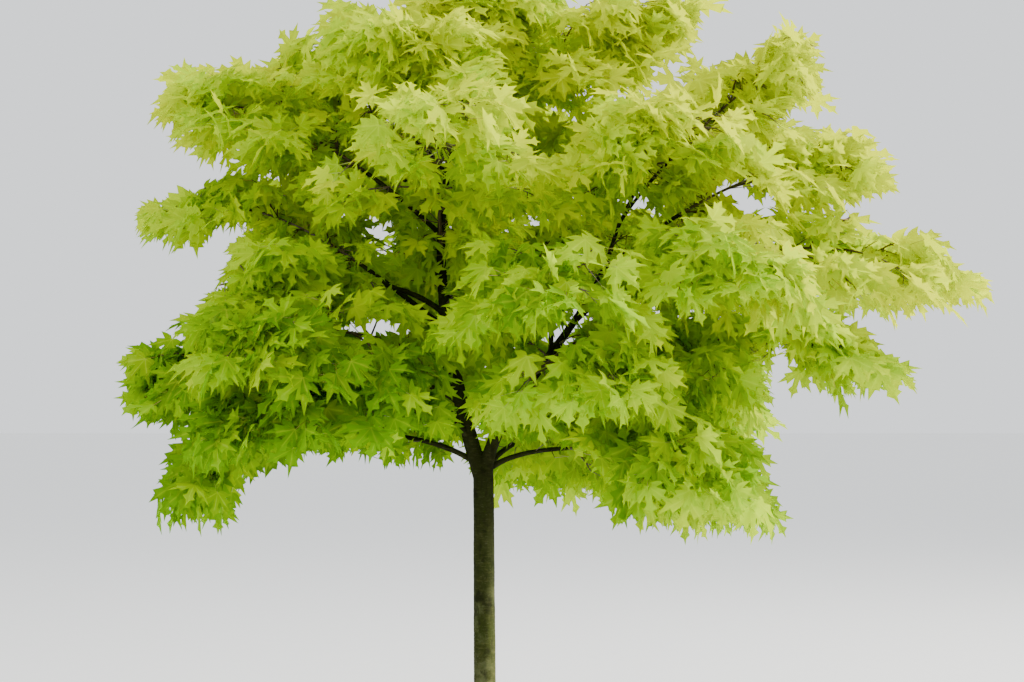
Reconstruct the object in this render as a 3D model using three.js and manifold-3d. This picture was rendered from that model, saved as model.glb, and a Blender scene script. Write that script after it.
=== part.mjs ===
// A young golden maple: a straight trunk that forks into two leaders, boughs in tiers round them,
// and a mass of twigs and leaves at the end of each bough.
// Millimetres, +Z up, +X to the right and +Y away from the viewer. The origin is the middle of the
// flat cut at ground level.
import * as THREE from "three";
import Module from "manifold-3d";

const wasm = await Module();
wasm.setup();

const DEGREE = Math.PI / 180;
const UP = new THREE.Vector3(0, 0, 1);

// Trunk: radii at the ground, before the flare, and at the fork, where its top tucks in between the leaders.
// Its rings are closest together in the flare and at the top.
const TRUNK = {
  forkHeight: 1475,
  lean: -10,
  footRadius: 46,
  forkRadius: 41,
  flareRadius: 34,
  flareHeight: 75,
  rootRidges: 5,
  ridgeShare: 0.28,
  topRadius: 24,
  topHeight: 60,
  sides: 15,
  ringHeights: [0, 30, 70, 130, 230, 420, 800, 1200, 1415, 1450, 1475],
};

// Leaders: the two stems above the fork, each a Bezier line with its radii at the root and the tip
const LEADERS = {
  left_leader: {
    line: [[-8, 0, 1380], [-190, 10, 1960], [-260, 30, 2500], [-60, 0, 2960]],
    rootRadius: 34,
    tipRadius: 7,
    rings: 9,
  },
  right_leader: {
    line: [[0, 0, 1380], [-20, -20, 1720], [440, -200, 1960], [520, -215, 2420]],
    rootRadius: 29,
    tipRadius: 8,
    rings: 8,
  },
};
const LEADER_SIDES = 10;

// Tiers: how steeply the leaves under a limb hang, how steeply the limb leaves its stem and how far its end
// hangs, all in degrees, then the half width and half height of the space for its leaves, and a leaf's length
const TIERS = {
  low: { hang: 20, rise: 46, fall: 36, width: 520, height: 340, leaf: 325 },
  lower: { hang: 50, rise: 40, fall: 20, width: 540, height: 350, leaf: 325 },
  middle: { hang: 55, rise: 38, fall: 12, width: 540, height: 360, leaf: 320 },
  upper: { hang: 60, rise: 46, fall: -6, width: 520, height: 350, leaf: 295 },
  top: { hang: 66, rise: 62, fall: -38, width: 450, height: 350, leaf: 275 },
};

// Limbs of each tier: the stem that each one leaves and at what height, its bearing (0 is right, 90 is away),
// how far its leaves reach from the trunk's line, and the height of its outer tip. Bare ones have no bough:
// their leaves start at the stem itself.
const LIMBS = {
  low: {
    low_left: { stem: "trunk", leaves: 1440, bearing: 178, reach: 1380, tip: 1380 },
    low_back_left: { stem: "left_leader", leaves: 1600, bearing: 138, reach: 1420, tip: 1560 },
    low_back_right: { stem: "trunk", leaves: 1425, bearing: 58, reach: 1400, tip: 1390 },
    low_right: { stem: "trunk", leaves: 1425, bearing: 358, reach: 1130, tip: 1310 },
    low_front_right: { stem: "right_leader", leaves: 1560, bearing: 314, reach: 1340, tip: 1400 },
    low_front_left: { stem: "left_leader", leaves: 1560, bearing: 224, reach: 1360, tip: 1600 },
  },
  lower: {
    lower_left: { stem: "left_leader", leaves: 1700, bearing: 188, reach: 1490, tip: 1780 },
    lower_back: { stem: "left_leader", leaves: 1840, bearing: 112, reach: 1480, tip: 1780 },
    lower_back_right: { stem: "right_leader", leaves: 1800, bearing: 42, reach: 1500, tip: 1770 },
    lower_right: { stem: "right_leader", leaves: 1640, bearing: 345, reach: 1600, tip: 1910 },
    lower_front: { stem: "right_leader", leaves: 1700, bearing: 290, reach: 1400, tip: 1770 },
    lower_front_left: { stem: "left_leader", leaves: 1780, bearing: 230, reach: 1450, tip: 1880 },
  },
  middle: {
    middle_left: { stem: "left_leader", leaves: 2000, bearing: 172, reach: 1430, tip: 2580 },
    middle_back: { stem: "left_leader", leaves: 2180, bearing: 110, reach: 1500, tip: 2230 },
    middle_back_right: { stem: "left_leader", leaves: 2120, bearing: 52, reach: 1560, tip: 2400 },
    far_right: { stem: "right_leader", leaves: 2110, bearing: 0, reach: 1955, tip: 2280 },
    middle_front_right: { stem: "right_leader", leaves: 2000, bearing: 316, reach: 1520, tip: 2200 },
    middle_front: { stem: "right_leader", leaves: 1900, bearing: 280, reach: 1420, tip: 2100 },
    middle_front_left: { stem: "left_leader", leaves: 2060, bearing: 214, reach: 1400, tip: 2130 },
  },
  upper: {
    upper_left: { stem: "left_leader", leaves: 2380, bearing: 187, reach: 1310, tip: 2990 },
    upper_back_left: { stem: "left_leader", leaves: 2460, bearing: 128, reach: 1220, tip: 2800 },
    upper_back_right: { stem: "left_leader", leaves: 2400, bearing: 48, reach: 1300, tip: 2950 },
    upper_right: { stem: "right_leader", leaves: 2200, bearing: 8, reach: 1600, tip: 2780 },
    upper_front_right: { stem: "right_leader", leaves: 2360, bearing: 312, reach: 1180, tip: 2770 },
    upper_front: { stem: "left_leader", leaves: 2300, bearing: 262, reach: 1280, tip: 2780, bare: true },
  },
  top: {
    top_left: { stem: "left_leader", leaves: 2620, bearing: 160, reach: 1070, tip: 3240 },
    top_right: { stem: "right_leader", leaves: 2385, bearing: 354, reach: 1370, tip: 3230 },
    top_back_left: { stem: "left_leader", leaves: 2780, bearing: 125, reach: 820, tip: 3470, bare: true },
    top_front_left: { stem: "left_leader", leaves: 2700, bearing: 240, reach: 780, tip: 3200, bare: true },
    top_middle_right: { stem: "left_leader", leaves: 2860, bearing: 8, reach: 870, tip: 3390, bare: true },
    top: { stem: "left_leader", leaves: 2950, bearing: 40, reach: 150, tip: 3600, bare: true },
  },
};

// Boughs: radii, the most of its stem's radius that a root may be, the swelling there, and the shares of a
// limb's line that are its bough and the handles of its curve
const BOUGH = {
  rootRadius: 13,
  rootShare: 0.62,
  tipRadius: 8,
  collar: 0.5,
  collarShare: 0.12,
  share: 0.36,
  rootHandle: 0.22,
  tipHandle: 0.33,
  sides: 5,
  rings: 4,
};
const CLEARANCE = 0.35;

// Three-sided twigs: a mass's stem and the side twigs on it, with the short knots where something grows out.
// A side twig has one leafy knot from the leafy length on, and two from the twice leafy one.
const STEM = { rootRadius: 9, tipRadius: 6, knot: 7, bareStart: 0.1 };
const TWIG = {
  radius: 5.5,
  tipRadius: 5,
  knot: 6,
  shortest: 90,
  leafy: 150,
  twiceLeafy: 400,
  onePlace: [0.45],
  twoPlaces: [0.3, 0.65],
};
// Leaves: each stands for a spray and grows out of a face of its twig. Angles in degrees, the rest as shares.
const LEAF = {
  droop: 48,
  spread: 64,
  lean: 1,
  ahead: 0.8,
  reach: 0.7,
  bend: 0.2,
  tipBend: 0.08,
  fullness: 0.95,
};
// Sizes that a leaf may have, the fullest first: one with no room may be a younger, smaller one
const AGES = [1.3, 1.1, 0.9, 0.72, 0.58];
// Half of a leaf's outline, from the side lobe past the notch to its tip: across and along, as shares of
// its length
const LEAF_HALF = [[0.62, 0.36], [0.34, 0.6], [0, 1]];
// Clear room round a leaf or twig: to other limbs and leaves, and to the next space, as a share of its size
const CLEAR = { limb: 3, leaf: 4, root: 40, space: 0.03 };
// How far the growth wanders from the rule either way: angles in degrees, the rest as shares
const WANDER = { tilt: 8, spread: 8, droop: 14, aside: 10, lean: 0.25, roll: 0.4, fullness: 0.12 };
const SEED = { first: 101, step: 37 };

// Pairs of side twigs along a leafy stem: each pair's place, its spread and its tilt in degrees
const PAIRS = [
  { place: 0.03, spread: 72, tilt: -20 },
  { place: 0.18, spread: 66, tilt: 42 },
  { place: 0.34, spread: 64, tilt: -18 },
  { place: 0.5, spread: 58, tilt: 42 },
  { place: 0.65, spread: 55, tilt: -16 },
  { place: 0.8, spread: 52, tilt: 30 },
  { place: 0.94, spread: 46, tilt: -4 },
];

// A generator of numbers from 0 to 1 that repeats for a seed
function seeded(seed) {
  let state = seed >>> 0;
  return () => {
    state = (Math.imul(state, 1664525) + 1013904223) >>> 0;
    return state / 4294967296;
  };
}

const mix = (a, b, share) => a + (b - a) * share;

// A Bezier curve through rows of coordinates
function bezier(points) {
  return new THREE.CubicBezierCurve3(...points.map((p) => new THREE.Vector3(...p)));
}

// Direction at an angle from one unit vector towards another
function between(from, towards, degrees) {
  return from.clone().multiplyScalar(Math.cos(degrees * DEGREE))
    .addScaledVector(towards, Math.sin(degrees * DEGREE));
}

// A unit vector made square to another
function square(vector, to) {
  return vector.clone().addScaledVector(to, -vector.dot(to)).normalize();
}

// A unit vector square to a direction: level, or along X where the direction is nearly upright
function levelAcross(along) {
  const upright = Math.abs(along.z) > 0.9;
  return square(upright ? new THREE.Vector3(1, 0, 0) : along.clone().cross(UP), along);
}

// A solid from points and faces
function solidOf(points, faces) {
  const vertProperties = new Float32Array(points.flatMap((p) => [p.x, p.y, p.z]));
  const triVerts = new Uint32Array(faces.flat());
  return new wasm.Manifold(new wasm.Mesh({ numProp: 3, vertProperties, triVerts }));
}

// A closed tube through rings of points, each ring the same number of points
function tubeThrough(rings) {
  const sides = rings[0].length;
  const last = (rings.length - 1) * sides;
  const faces = [];
  for (let side = 1; side < sides - 1; side++)
    faces.push([0, side + 1, side], [last, last + side, last + side + 1]);
  for (let ring = 0; ring < rings.length - 1; ring++)
    for (let side = 0; side < sides; side++) {
      const a = ring * sides + side;
      const b = ring * sides + ((side + 1) % sides);
      faces.push([a, b, b + sides], [a, b + sides, a + sides]);
    }
  return solidOf(rings.flat(), faces);
}

// A tapering tube along a curve between two of its places
function tubeAlong(curve, start, end, radiusAt, sides, ringCount) {
  const rings = [];
  let across = null;
  for (let i = 0; i <= ringCount; i++) {
    const share = i / ringCount;
    const place = mix(start, end, share);
    const centre = curve.getPoint(place);
    const along = curve.getTangent(THREE.MathUtils.clamp(place, 0, 1));
    across = across ? square(across, along) : levelAcross(along);
    const over = along.clone().cross(across);
    rings.push(Array.from({ length: sides }, (_, side) => {
      const turn = (side / sides) * 2 * Math.PI;
      return centre.clone().addScaledVector(across, radiusAt(share) * Math.cos(turn))
        .addScaledVector(over, radiusAt(share) * Math.sin(turn));
    }));
  }
  return tubeThrough(rings);
}

// Trunk radius at a height and a turn round it: an even taper, a ridged flare at the foot, and a tucked top
function trunkRadius(height, turn) {
  const taper = mix(TRUNK.footRadius, TRUNK.forkRadius, height / TRUNK.forkHeight);
  const flare = TRUNK.flareRadius * Math.exp(-height / TRUNK.flareHeight);
  const ridge = 1 + TRUNK.ridgeShare * Math.cos(TRUNK.rootRidges * turn);
  const tuck = Math.max(0, 1 - (TRUNK.forkHeight - height) / TRUNK.topHeight);
  return mix(taper + flare * ridge, TRUNK.topRadius, tuck * tuck);
}

// The trunk, larger all round by grow
function trunkSolid(grow) {
  return tubeThrough(TRUNK.ringHeights.map((height) =>
    Array.from({ length: TRUNK.sides }, (_, side) => {
      const turn = (side / TRUNK.sides) * 2 * Math.PI;
      const radius = trunkRadius(height, turn) + grow;
      const lean = (TRUNK.lean * height) / TRUNK.forkHeight;
      const lift = height === TRUNK.forkHeight ? grow : 0;
      return new THREE.Vector3(lean + radius * Math.cos(turn), radius * Math.sin(turn), height + lift);
    })));
}

// Stems: the lines that limbs leave from, with their radii
const stems = {
  trunk: {
    curve: new THREE.LineCurve3(new THREE.Vector3(), new THREE.Vector3(TRUNK.lean, 0, TRUNK.forkHeight)),
    radiusAt: (place) => mix(TRUNK.footRadius, TRUNK.forkRadius, place),
    solid: trunkSolid,
  },
};
for (const [name, leader] of Object.entries(LEADERS)) {
  const curve = bezier(leader.line);
  const radiusAt = (place) => mix(leader.rootRadius, leader.tipRadius, place);
  const solid = (grow) => {
    const past = grow / curve.getLength();
    return tubeAlong(curve, -past, 1 + past, (place) => radiusAt(place) + grow, LEADER_SIDES, leader.rings);
  };
  stems[name] = { curve, radiusAt, solid };
}

// The place on a stem's line that has a height, found by halving
function placeAtHeight(stem, height) {
  let low = 0;
  let high = 1;
  for (let i = 0; i < 30; i++) {
    const middle = (low + high) / 2;
    if (stem.curve.getPoint(middle).z < height) low = middle;
    else high = middle;
  }
  return low;
}

// A limb's whole line, from its stem to the furthest tip of its leaves
function limbCurve(limb) {
  const stem = stems[limb.stem];
  const root = stem.curve.getPoint(placeAtHeight(stem, limb.leaves));
  const turn = limb.bearing * DEGREE;
  const tip = new THREE.Vector3(limb.reach * Math.cos(turn), limb.reach * Math.sin(turn), limb.tip);
  const outward = tip.clone().sub(root).setZ(0).normalize();
  const chord = tip.distanceTo(root);
  return new THREE.CubicBezierCurve3(root,
    root.clone().addScaledVector(between(outward, UP, limb.tier.rise), chord * BOUGH.rootHandle),
    tip.clone().addScaledVector(between(outward, UP, -limb.tier.fall), -chord * BOUGH.tipHandle),
    tip);
}

// A bough's radius along its length, with a collar where it leaves its stem
function boughRadius(limb) {
  const stem = stems[limb.stem];
  const room = BOUGH.rootShare * stem.radiusAt(placeAtHeight(stem, limb.leaves));
  const root = Math.min(BOUGH.rootRadius, room);
  return (share) => {
    const collar = Math.max(0, 1 - share / BOUGH.collarShare);
    return mix(root, BOUGH.tipRadius, share) * (1 + BOUGH.collar * collar * collar);
  };
}

// The space that a mass of leaves keeps to: a centre, three square axes and a half size on each
function spaceOf(limb, curve, start) {
  const from = curve.getPoint(start);
  const to = curve.getPoint(1);
  const along = to.clone().sub(from).normalize();
  const across = levelAcross(along);
  return {
    centre: from.clone().lerp(to, 0.5),
    axes: [along, across, along.clone().cross(across)],
    halves: [from.distanceTo(to) / 2, limb.tier.width, limb.tier.height],
  };
}

// How far out a point lies in a space, 1 being its edge
function depthIn(space, point) {
  const offset = point.clone().sub(space.centre);
  return Math.hypot(...space.axes.map((axis, i) => offset.dot(axis) / space.halves[i]));
}

// The distance from a point to the edge of a space along a unit direction
function roomIn(space, point, way) {
  const offset = point.clone().sub(space.centre);
  const from = space.axes.map((axis, i) => offset.dot(axis) / space.halves[i]);
  const step = space.axes.map((axis, i) => way.dot(axis) / space.halves[i]);
  const dot = (u, v) => u[0] * v[0] + u[1] * v[1] + u[2] * v[2];
  const half = dot(from, step) / dot(step, step);
  return Math.sqrt(Math.max(0, half * half - (dot(from, from) - 1) / dot(step, step))) - half;
}

// Growing mesh: points and faces, and ports, which are faces that a twig or a leaf may still grow from
class Growth {
  points = [];
  faces = [];
  ports = new Set();

  add(point) {
    return this.points.push(point) - 1;
  }

  // A port closed with a face of its own
  close(port) {
    this.ports.delete(port);
    this.faces.push(port);
  }

  // True if an edge of a face passes through another face that it shares no corner with
  pierces(face, other) {
    return face.some((corner, i) => {
      const next = face[(i + 1) % 3];
      if (other.includes(corner) || other.includes(next)) return false;
      const from = this.points[corner];
      const edge = this.points[next].clone().sub(from);
      const ray = new THREE.Ray(from, edge.clone().normalize());
      const hit = ray.intersectTriangle(...this.at(other), false, new THREE.Vector3());
      return hit !== null && hit.distanceTo(from) < edge.length();
    });
  }

  // New faces and ports on a port, unless one would pass through another or through one already here
  fuse(port, faces, ports, firstPoint) {
    const box = (face) => new THREE.Box3().setFromPoints(this.at(face));
    const fresh = [...faces, ...ports];
    const whole = box(fresh.flat());
    const old = [...this.faces, ...this.ports];
    const near = old.filter((face) => face !== port && whole.intersectsBox(box(face)));
    const crossed = fresh.some((face, i) => [...near, ...fresh.slice(0, i)].some((other) =>
      this.pierces(face, other) || this.pierces(other, face)));
    if (crossed) {
      this.points.length = firstPoint;
      return false;
    }
    this.faces.push(...faces);
    this.ports.delete(port);
    for (const grown of ports) this.ports.add(grown);
    return true;
  }

  // Three points round a centre, square to a direction, each turned like the point before it
  ring(centre, along, radius, before) {
    const middle = before.reduce((sum, point) => sum.clone().add(point)).divideScalar(3);
    return before.map((point) =>
      this.add(centre.clone().addScaledVector(square(point.clone().sub(middle), along), radius)));
  }

  // Side faces from one ring to the next, as three pairs
  sleeve(from, to) {
    return [0, 1, 2].map((i) => {
      const next = (i + 1) % 3;
      return [[from[i], from[next], to[next]], [from[i], to[next], to[i]]];
    });
  }

  at(ring) {
    return ring.map((i) => this.points[i]);
  }

  // A port's corners from its highest in a direction
  topFirst(port, over) {
    const heights = this.at(port).map((point) => point.dot(over));
    const top = heights.indexOf(Math.max(...heights));
    return [0, 1, 2].map((i) => port[(top + i) % 3]);
  }

  // A three-sided twig from a port through stations. One with a knot leaves ports at each side and below.
  twig(port, stations) {
    const firstPoint = this.points.length;
    const faces = [];
    const knots = [];
    let ring = this.topFirst(port, UP);
    for (const { centre, along, radius, knot } of stations) {
      const half = (knot || 0) / 2;
      let next = this.ring(centre.clone().addScaledVector(along, -half), along, radius, this.at(ring));
      faces.push(...this.sleeve(ring, next).flat());
      ring = next;
      if (!knot) continue;
      next = this.ring(centre.clone().addScaledVector(along, half), along, radius, this.at(ring));
      const [first, under, last] = this.sleeve(ring, next);
      faces.push(first[1], under[1], last[0]);
      knots.push({ sides: [first[0], last[1]], under: under[0] });
      ring = next;
    }
    const ports = [ring, ...knots.flatMap(({ sides, under }) => [...sides, under])];
    return this.fuse(port, faces, ports, firstPoint) ? { end: ring, knots } : null;
  }

  // A leaf's blade from a port: its rim joined to the port's upper corner above and to the other two below
  leaf(port, { rim, over }) {
    const firstPoint = this.points.length;
    const [u, p, q] = this.topFirst(port, over);
    const edge = rim.map((point) => this.add(point));
    const middle = (edge.length - 1) / 2;
    const faces = [[u, p, edge[0]], [q, u, edge[edge.length - 1]], [p, q, edge[middle]]];
    for (let i = 0; i < edge.length - 1; i++)
      faces.push([u, edge[i], edge[i + 1]], [i < middle ? p : q, edge[i + 1], edge[i]]);
    return this.fuse(port, faces, [], firstPoint);
  }

  solid() {
    return solidOf(this.points, this.faces);
  }
}

// A leaf's rim, from one side lobe round its tip to the other. The lobes and the tip hang.
function leafRim({ at, along, facing }, size) {
  const over = square(facing, along);
  const across = along.clone().cross(over);
  const blade = ([x, y]) => at.clone().addScaledVector(across, x * size).addScaledVector(along, y * size)
    .addScaledVector(over, -(LEAF.bend * x * x + LEAF.tipBend * y * y) * size);
  const half = LEAF_HALF.map(blade);
  const other = LEAF_HALF.slice(0, -1).reverse().map(([x, y]) => blade([-x, y]));
  return { rim: [...half, ...other], over };
}

// The body of a leaf that starts clear of its root, to test against others
function leafProbe({ at, along }, { rim, over }) {
  const root = at.clone().addScaledVector(along, CLEAR.root);
  const points = [root.clone().add(over), root.clone().sub(over), ...rim];
  const faces = [[1, 0, 2], [0, 1, rim.length + 1]];
  for (let i = 2; i < rim.length + 1; i++) faces.push([0, i + 1, i], [1, i, i + 1]);
  return solidOf(points, faces.map(([a, b, c]) => [a, c, b]));
}

// The line of a side twig: where it leaves the stem, where it ends and its length
function sideTwig(mass, pair, hand, frame, wander) {
  const { along, across, over, at } = frame;
  const side = between(across.clone().multiplyScalar(hand), over, pair.tilt + wander(WANDER.tilt));
  const way = between(along, side, pair.spread + wander(WANDER.spread)).normalize();
  const length = Math.max(TWIG.shortest, roomIn(mass.space, at, way) - mass.tier.leaf * LEAF.reach);
  return { at, way, length };
}

// A leaf at a point, aimed partly along a direction and partly down, its face turned up and out
function hangingLeaf(at, way, droop, wander) {
  const level = square(way, UP);
  const down = between(level, UP, wander(WANDER.droop) - droop);
  const facing = UP.clone().addScaledVector(level, LEAF.lean + wander(WANDER.lean))
    .addScaledVector(level.clone().cross(UP), wander(WANDER.roll));
  const along = way.clone().multiplyScalar(LEAF.ahead).add(down).normalize();
  return { at, along, facing, fullness: LEAF.fullness + wander(WANDER.fullness) };
}

// A twig's or stem's station: a place on a curve with a direction and a radius
function station(curve, place, radius, knot) {
  return { centre: curve.getPoint(place), along: curve.getTangent(place), radius, knot };
}

// A solid cut clear of others, without the scraps that a cut may leave
function cutClear(solid, others) {
  const pieces = others.reduce((left, other) => left.subtract(other), solid).decompose();
  return pieces.reduce((a, b) => (a.volume() > b.volume() ? a : b));
}

// The trunk, the leaders cut clear of it, and the boughs cut clear of their stems
const grown = Object.values(stems).map((stem) => stem.solid(CLEARANCE));
const solids = new Map();
Object.keys(stems).forEach((name, i) => solids.set(name, cutClear(stems[name].solid(0), grown.slice(0, i))));

// A mass begins where its bough ends, or at the stem itself, and its stem ends a leaf short of the tip
const limbs = Object.entries(LIMBS).flatMap(([tier, members]) =>
  Object.entries(members).map(([name, limb]) => ({ name, tier: TIERS[tier], ...limb })));
const masses = limbs.map((limb, i) => {
  const curve = limbCurve(limb);
  const start = limb.bare ? STEM.bareStart : BOUGH.share;
  const end = 1 - (limb.tier.leaf * LEAF.reach) / curve.getLength();
  const root = limb.bare ? 0 : start + CLEARANCE / curve.getLength();
  const probe = tubeAlong(curve, root, end, () => STEM.rootRadius, 3, 4);
  const seed = SEED.first + SEED.step * i;
  return { ...limb, curve, start, end, root, probe, seed, space: spaceOf(limb, curve, start) };
});
for (const mass of masses) {
  if (mass.bare) continue;
  const bough = tubeAlong(mass.curve, 0, mass.start, boughRadius(mass), BOUGH.sides, BOUGH.rings);
  solids.set("bough_" + mass.name, cutClear(bough, grown));
}
const limbSolids = [...solids.values()];

// A point is in a mass's own space if it lies deeper in it than in any other
function keepsTo(mass, point) {
  const own = depthIn(mass.space, point);
  return masses.every((other) => other === mass || depthIn(other.space, point) > own + CLEAR.space);
}

const touches = (probe, others, gap) => others.some((other) => probe.minGap(other, gap) < gap);

// A mass: a stem with pairs of side twigs, and a pair of leaves and an end leaf on each. A twig or leaf that
// would leave the mass's space, touch a limb or another leaf, or cross the growth that is there is skipped.
function massSolid(mass) {
  const { curve, root, start, end } = mass;
  const { leaf: leafLength, hang } = mass.tier;
  const random = seeded(mass.seed);
  const wander = (amount) => (random() * 2 - 1) * amount;
  const foreign = [...limbSolids, ...masses.filter((other) => other !== mass).map((other) => other.probe)];
  const body = new Growth();
  const kept = [mass.probe];

  const fits = (port, leaf, blade) => {
    const probe = leafProbe(leaf, blade);
    if (!blade.rim.every((point) => keepsTo(mass, point))) return false;
    if (touches(probe, foreign, CLEAR.limb) || touches(probe, kept, CLEAR.leaf)) return false;
    if (!body.leaf(port, blade)) return false;
    kept.push(probe);
    return true;
  };
  const growLeaf = (port, way, droop) => {
    const at = body.at(port).reduce((sum, point) => sum.clone().add(point)).divideScalar(3);
    const leaf = hangingLeaf(at, way, droop, wander);
    const grows = AGES.some((age) => fits(port, leaf, leafRim(leaf, leafLength * leaf.fullness * age)));
    if (!grows) body.close(port);
  };

  const frames = PAIRS.map((pair) => {
    const place = mix(start, end, pair.place);
    const along = curve.getTangent(place);
    const across = levelAcross(along);
    return { at: curve.getPoint(place), along, across, over: across.clone().cross(along), place };
  });
  const radiusAt = (place) => mix(STEM.rootRadius, STEM.tipRadius, (place - root) / (end - root));
  const first = curve.getPoint(root);
  const { across, over } = frames[0];
  const base = [90, 330, 210].map((turn) =>
    body.add(first.clone().addScaledVector(between(across, over, turn), STEM.rootRadius)));
  body.faces.push([base[0], base[2], base[1]]);
  const stations = frames.map(({ place }) => station(curve, place, radiusAt(place), STEM.knot));
  const stem = body.twig(base, [...stations, station(curve, end, STEM.tipRadius)]);

  const twigs = PAIRS.flatMap((pair, i) => [1, -1].map((hand, j) => {
    const { at, way, length } = sideTwig(mass, pair, hand, frames[i], wander);
    const port = stem.knots[i].sides[j];
    const line = new THREE.LineCurve3(at, at.clone().addScaledVector(way, length));
    const clear = CLEAR.root / length;
    const probe = tubeAlong(line, clear, 1 - clear, () => TWIG.radius, 3, 1);
    const leafy = length > TWIG.twiceLeafy ? TWIG.twoPlaces : TWIG.onePlace;
    const places = length > TWIG.leafy ? leafy : [];
    const knots = places.map((place) => station(line, place, TWIG.radius, TWIG.knot));
    const free = keepsTo(mass, line.v2) && !touches(probe, foreign, CLEAR.limb);
    const twig = free && body.twig(port, [...knots, station(line, 1, TWIG.tipRadius)]);
    if (twig) kept.push(probe);
    else body.close(port);
    return { way, ...twig };
  })).filter((twig) => twig.end);

  growLeaf(stem.end, curve.getTangent(end), LEAF.droop);
  for (const twig of twigs) growLeaf(twig.end, twig.way, LEAF.droop);
  for (const { knots, way } of twigs)
    for (const { sides } of knots)
      sides.forEach((port, i) => {
        const out = way.clone().cross(UP).multiplyScalar(i === 0 ? 1 : -1).normalize();
        growLeaf(port, between(way, out, LEAF.spread + wander(WANDER.aside)), LEAF.droop);
      });
  for (const { knots, way } of twigs)
    for (const { under } of knots) growLeaf(under, between(square(way, UP), UP, -hang), hang);
  stem.knots.forEach(({ under }, i) =>
    growLeaf(under, between(square(frames[i].along, UP), UP, -hang), hang));
  return body.solid();
}

for (const mass of masses)
  solids.set("foliage_" + mass.name, cutClear(massSolid(mass), mass.bare ? grown : []));

const BARK = { color: 0x5b5334, roughness: 0.9, metalness: 0 };
const FOLIAGE = { color: 0xc3d42a, roughness: 0.55, metalness: 0 };

const tree = new THREE.Group();
for (const [name, solid] of solids) {
  const { numProp, vertProperties, triVerts } = solid.getMesh();
  const geometry = new THREE.BufferGeometry();
  geometry.setAttribute("position", new THREE.BufferAttribute(vertProperties, numProp));
  geometry.setIndex(new THREE.BufferAttribute(triVerts, 1));
  geometry.computeVertexNormals();
  const finish = name.startsWith("foliage_") ? FOLIAGE : BARK;
  const mesh = new THREE.Mesh(geometry, new THREE.MeshStandardMaterial(finish));
  mesh.name = name;
  tree.add(mesh);
}

export default tree;
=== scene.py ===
"""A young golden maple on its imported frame: bark, boughs, twigs, leaf stalks, leaves and a studio stage."""

import math
import random
from functools import lru_cache

import bpy
import numpy as np
from bpy.props import FloatProperty, FloatVectorProperty, PointerProperty
from bpy.types import Operator, Panel, PropertyGroup
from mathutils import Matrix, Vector, noise


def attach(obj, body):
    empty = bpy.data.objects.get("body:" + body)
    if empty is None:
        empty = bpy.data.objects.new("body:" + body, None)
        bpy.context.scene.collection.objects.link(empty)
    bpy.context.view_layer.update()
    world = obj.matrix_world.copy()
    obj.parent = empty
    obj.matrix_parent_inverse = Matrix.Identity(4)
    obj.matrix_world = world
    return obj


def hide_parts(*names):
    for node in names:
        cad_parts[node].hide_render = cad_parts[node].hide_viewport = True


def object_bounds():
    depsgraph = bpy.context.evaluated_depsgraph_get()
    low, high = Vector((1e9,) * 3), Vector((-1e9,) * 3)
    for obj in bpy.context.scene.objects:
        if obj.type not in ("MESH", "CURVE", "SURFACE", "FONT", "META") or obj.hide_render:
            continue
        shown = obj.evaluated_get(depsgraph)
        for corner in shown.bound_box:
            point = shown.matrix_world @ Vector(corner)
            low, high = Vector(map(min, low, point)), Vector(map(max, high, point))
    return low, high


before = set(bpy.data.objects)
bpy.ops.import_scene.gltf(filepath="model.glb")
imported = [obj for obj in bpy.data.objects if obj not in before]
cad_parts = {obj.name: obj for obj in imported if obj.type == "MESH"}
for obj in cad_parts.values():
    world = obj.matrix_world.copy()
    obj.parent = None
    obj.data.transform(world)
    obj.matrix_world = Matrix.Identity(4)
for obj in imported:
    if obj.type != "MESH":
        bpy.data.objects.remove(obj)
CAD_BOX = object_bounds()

bl_info = {
    "name": "Golden maple",
    "version": (1, 0, 0),
    "blender": (4, 5, 0),
    "location": "View3D > Sidebar > Maple",
    "description": "Grows a golden maple on its packed frame",
    "category": "Add Mesh",
}

UP = Vector((0, 0, 1))
# How far up a unit vector points when it counts as nearly upright
UPRIGHT = 0.9
BODY = "root"

# The tree's named sizes, as in the source of its solids, in metres and degrees
TRUNK = {
    "fork": 1.475,
    "lean": -0.010,
    "foot_radius": 0.046,
    "fork_radius": 0.041,
    "flare_radius": 0.034,
    "flare_height": 0.075,
    "root_ridges": 5,
    "ridge_share": 0.28,
    "top_radius": 0.024,
    "top_height": 0.060,
}
# Leaders: the four points of a Bezier line, then the radii at its root and tip
LEADERS = {
    "left_leader": (
        ((-0.008, 0, 1.38), (-0.19, 0.01, 1.96), (-0.26, 0.03, 2.5), (-0.06, 0, 2.96)),
        0.034,
        0.007,
    ),
    "right_leader": (
        ((0, 0, 1.38), (-0.02, -0.02, 1.72), (0.44, -0.2, 1.96), (0.52, -0.215, 2.42)),
        0.029,
        0.008,
    ),
}
# Tiers: how steeply a limb leaves its stem and how far its end hangs, the half width and half height of the
# space for its leaves, and the length of the solids' leaf
TIERS = {
    "low": (46, 36, 0.52, 0.34, 0.325),
    "lower": (40, 20, 0.54, 0.35, 0.325),
    "middle": (38, 12, 0.54, 0.36, 0.32),
    "upper": (46, -6, 0.52, 0.35, 0.295),
    "top": (62, -38, 0.45, 0.35, 0.275),
}
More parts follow.
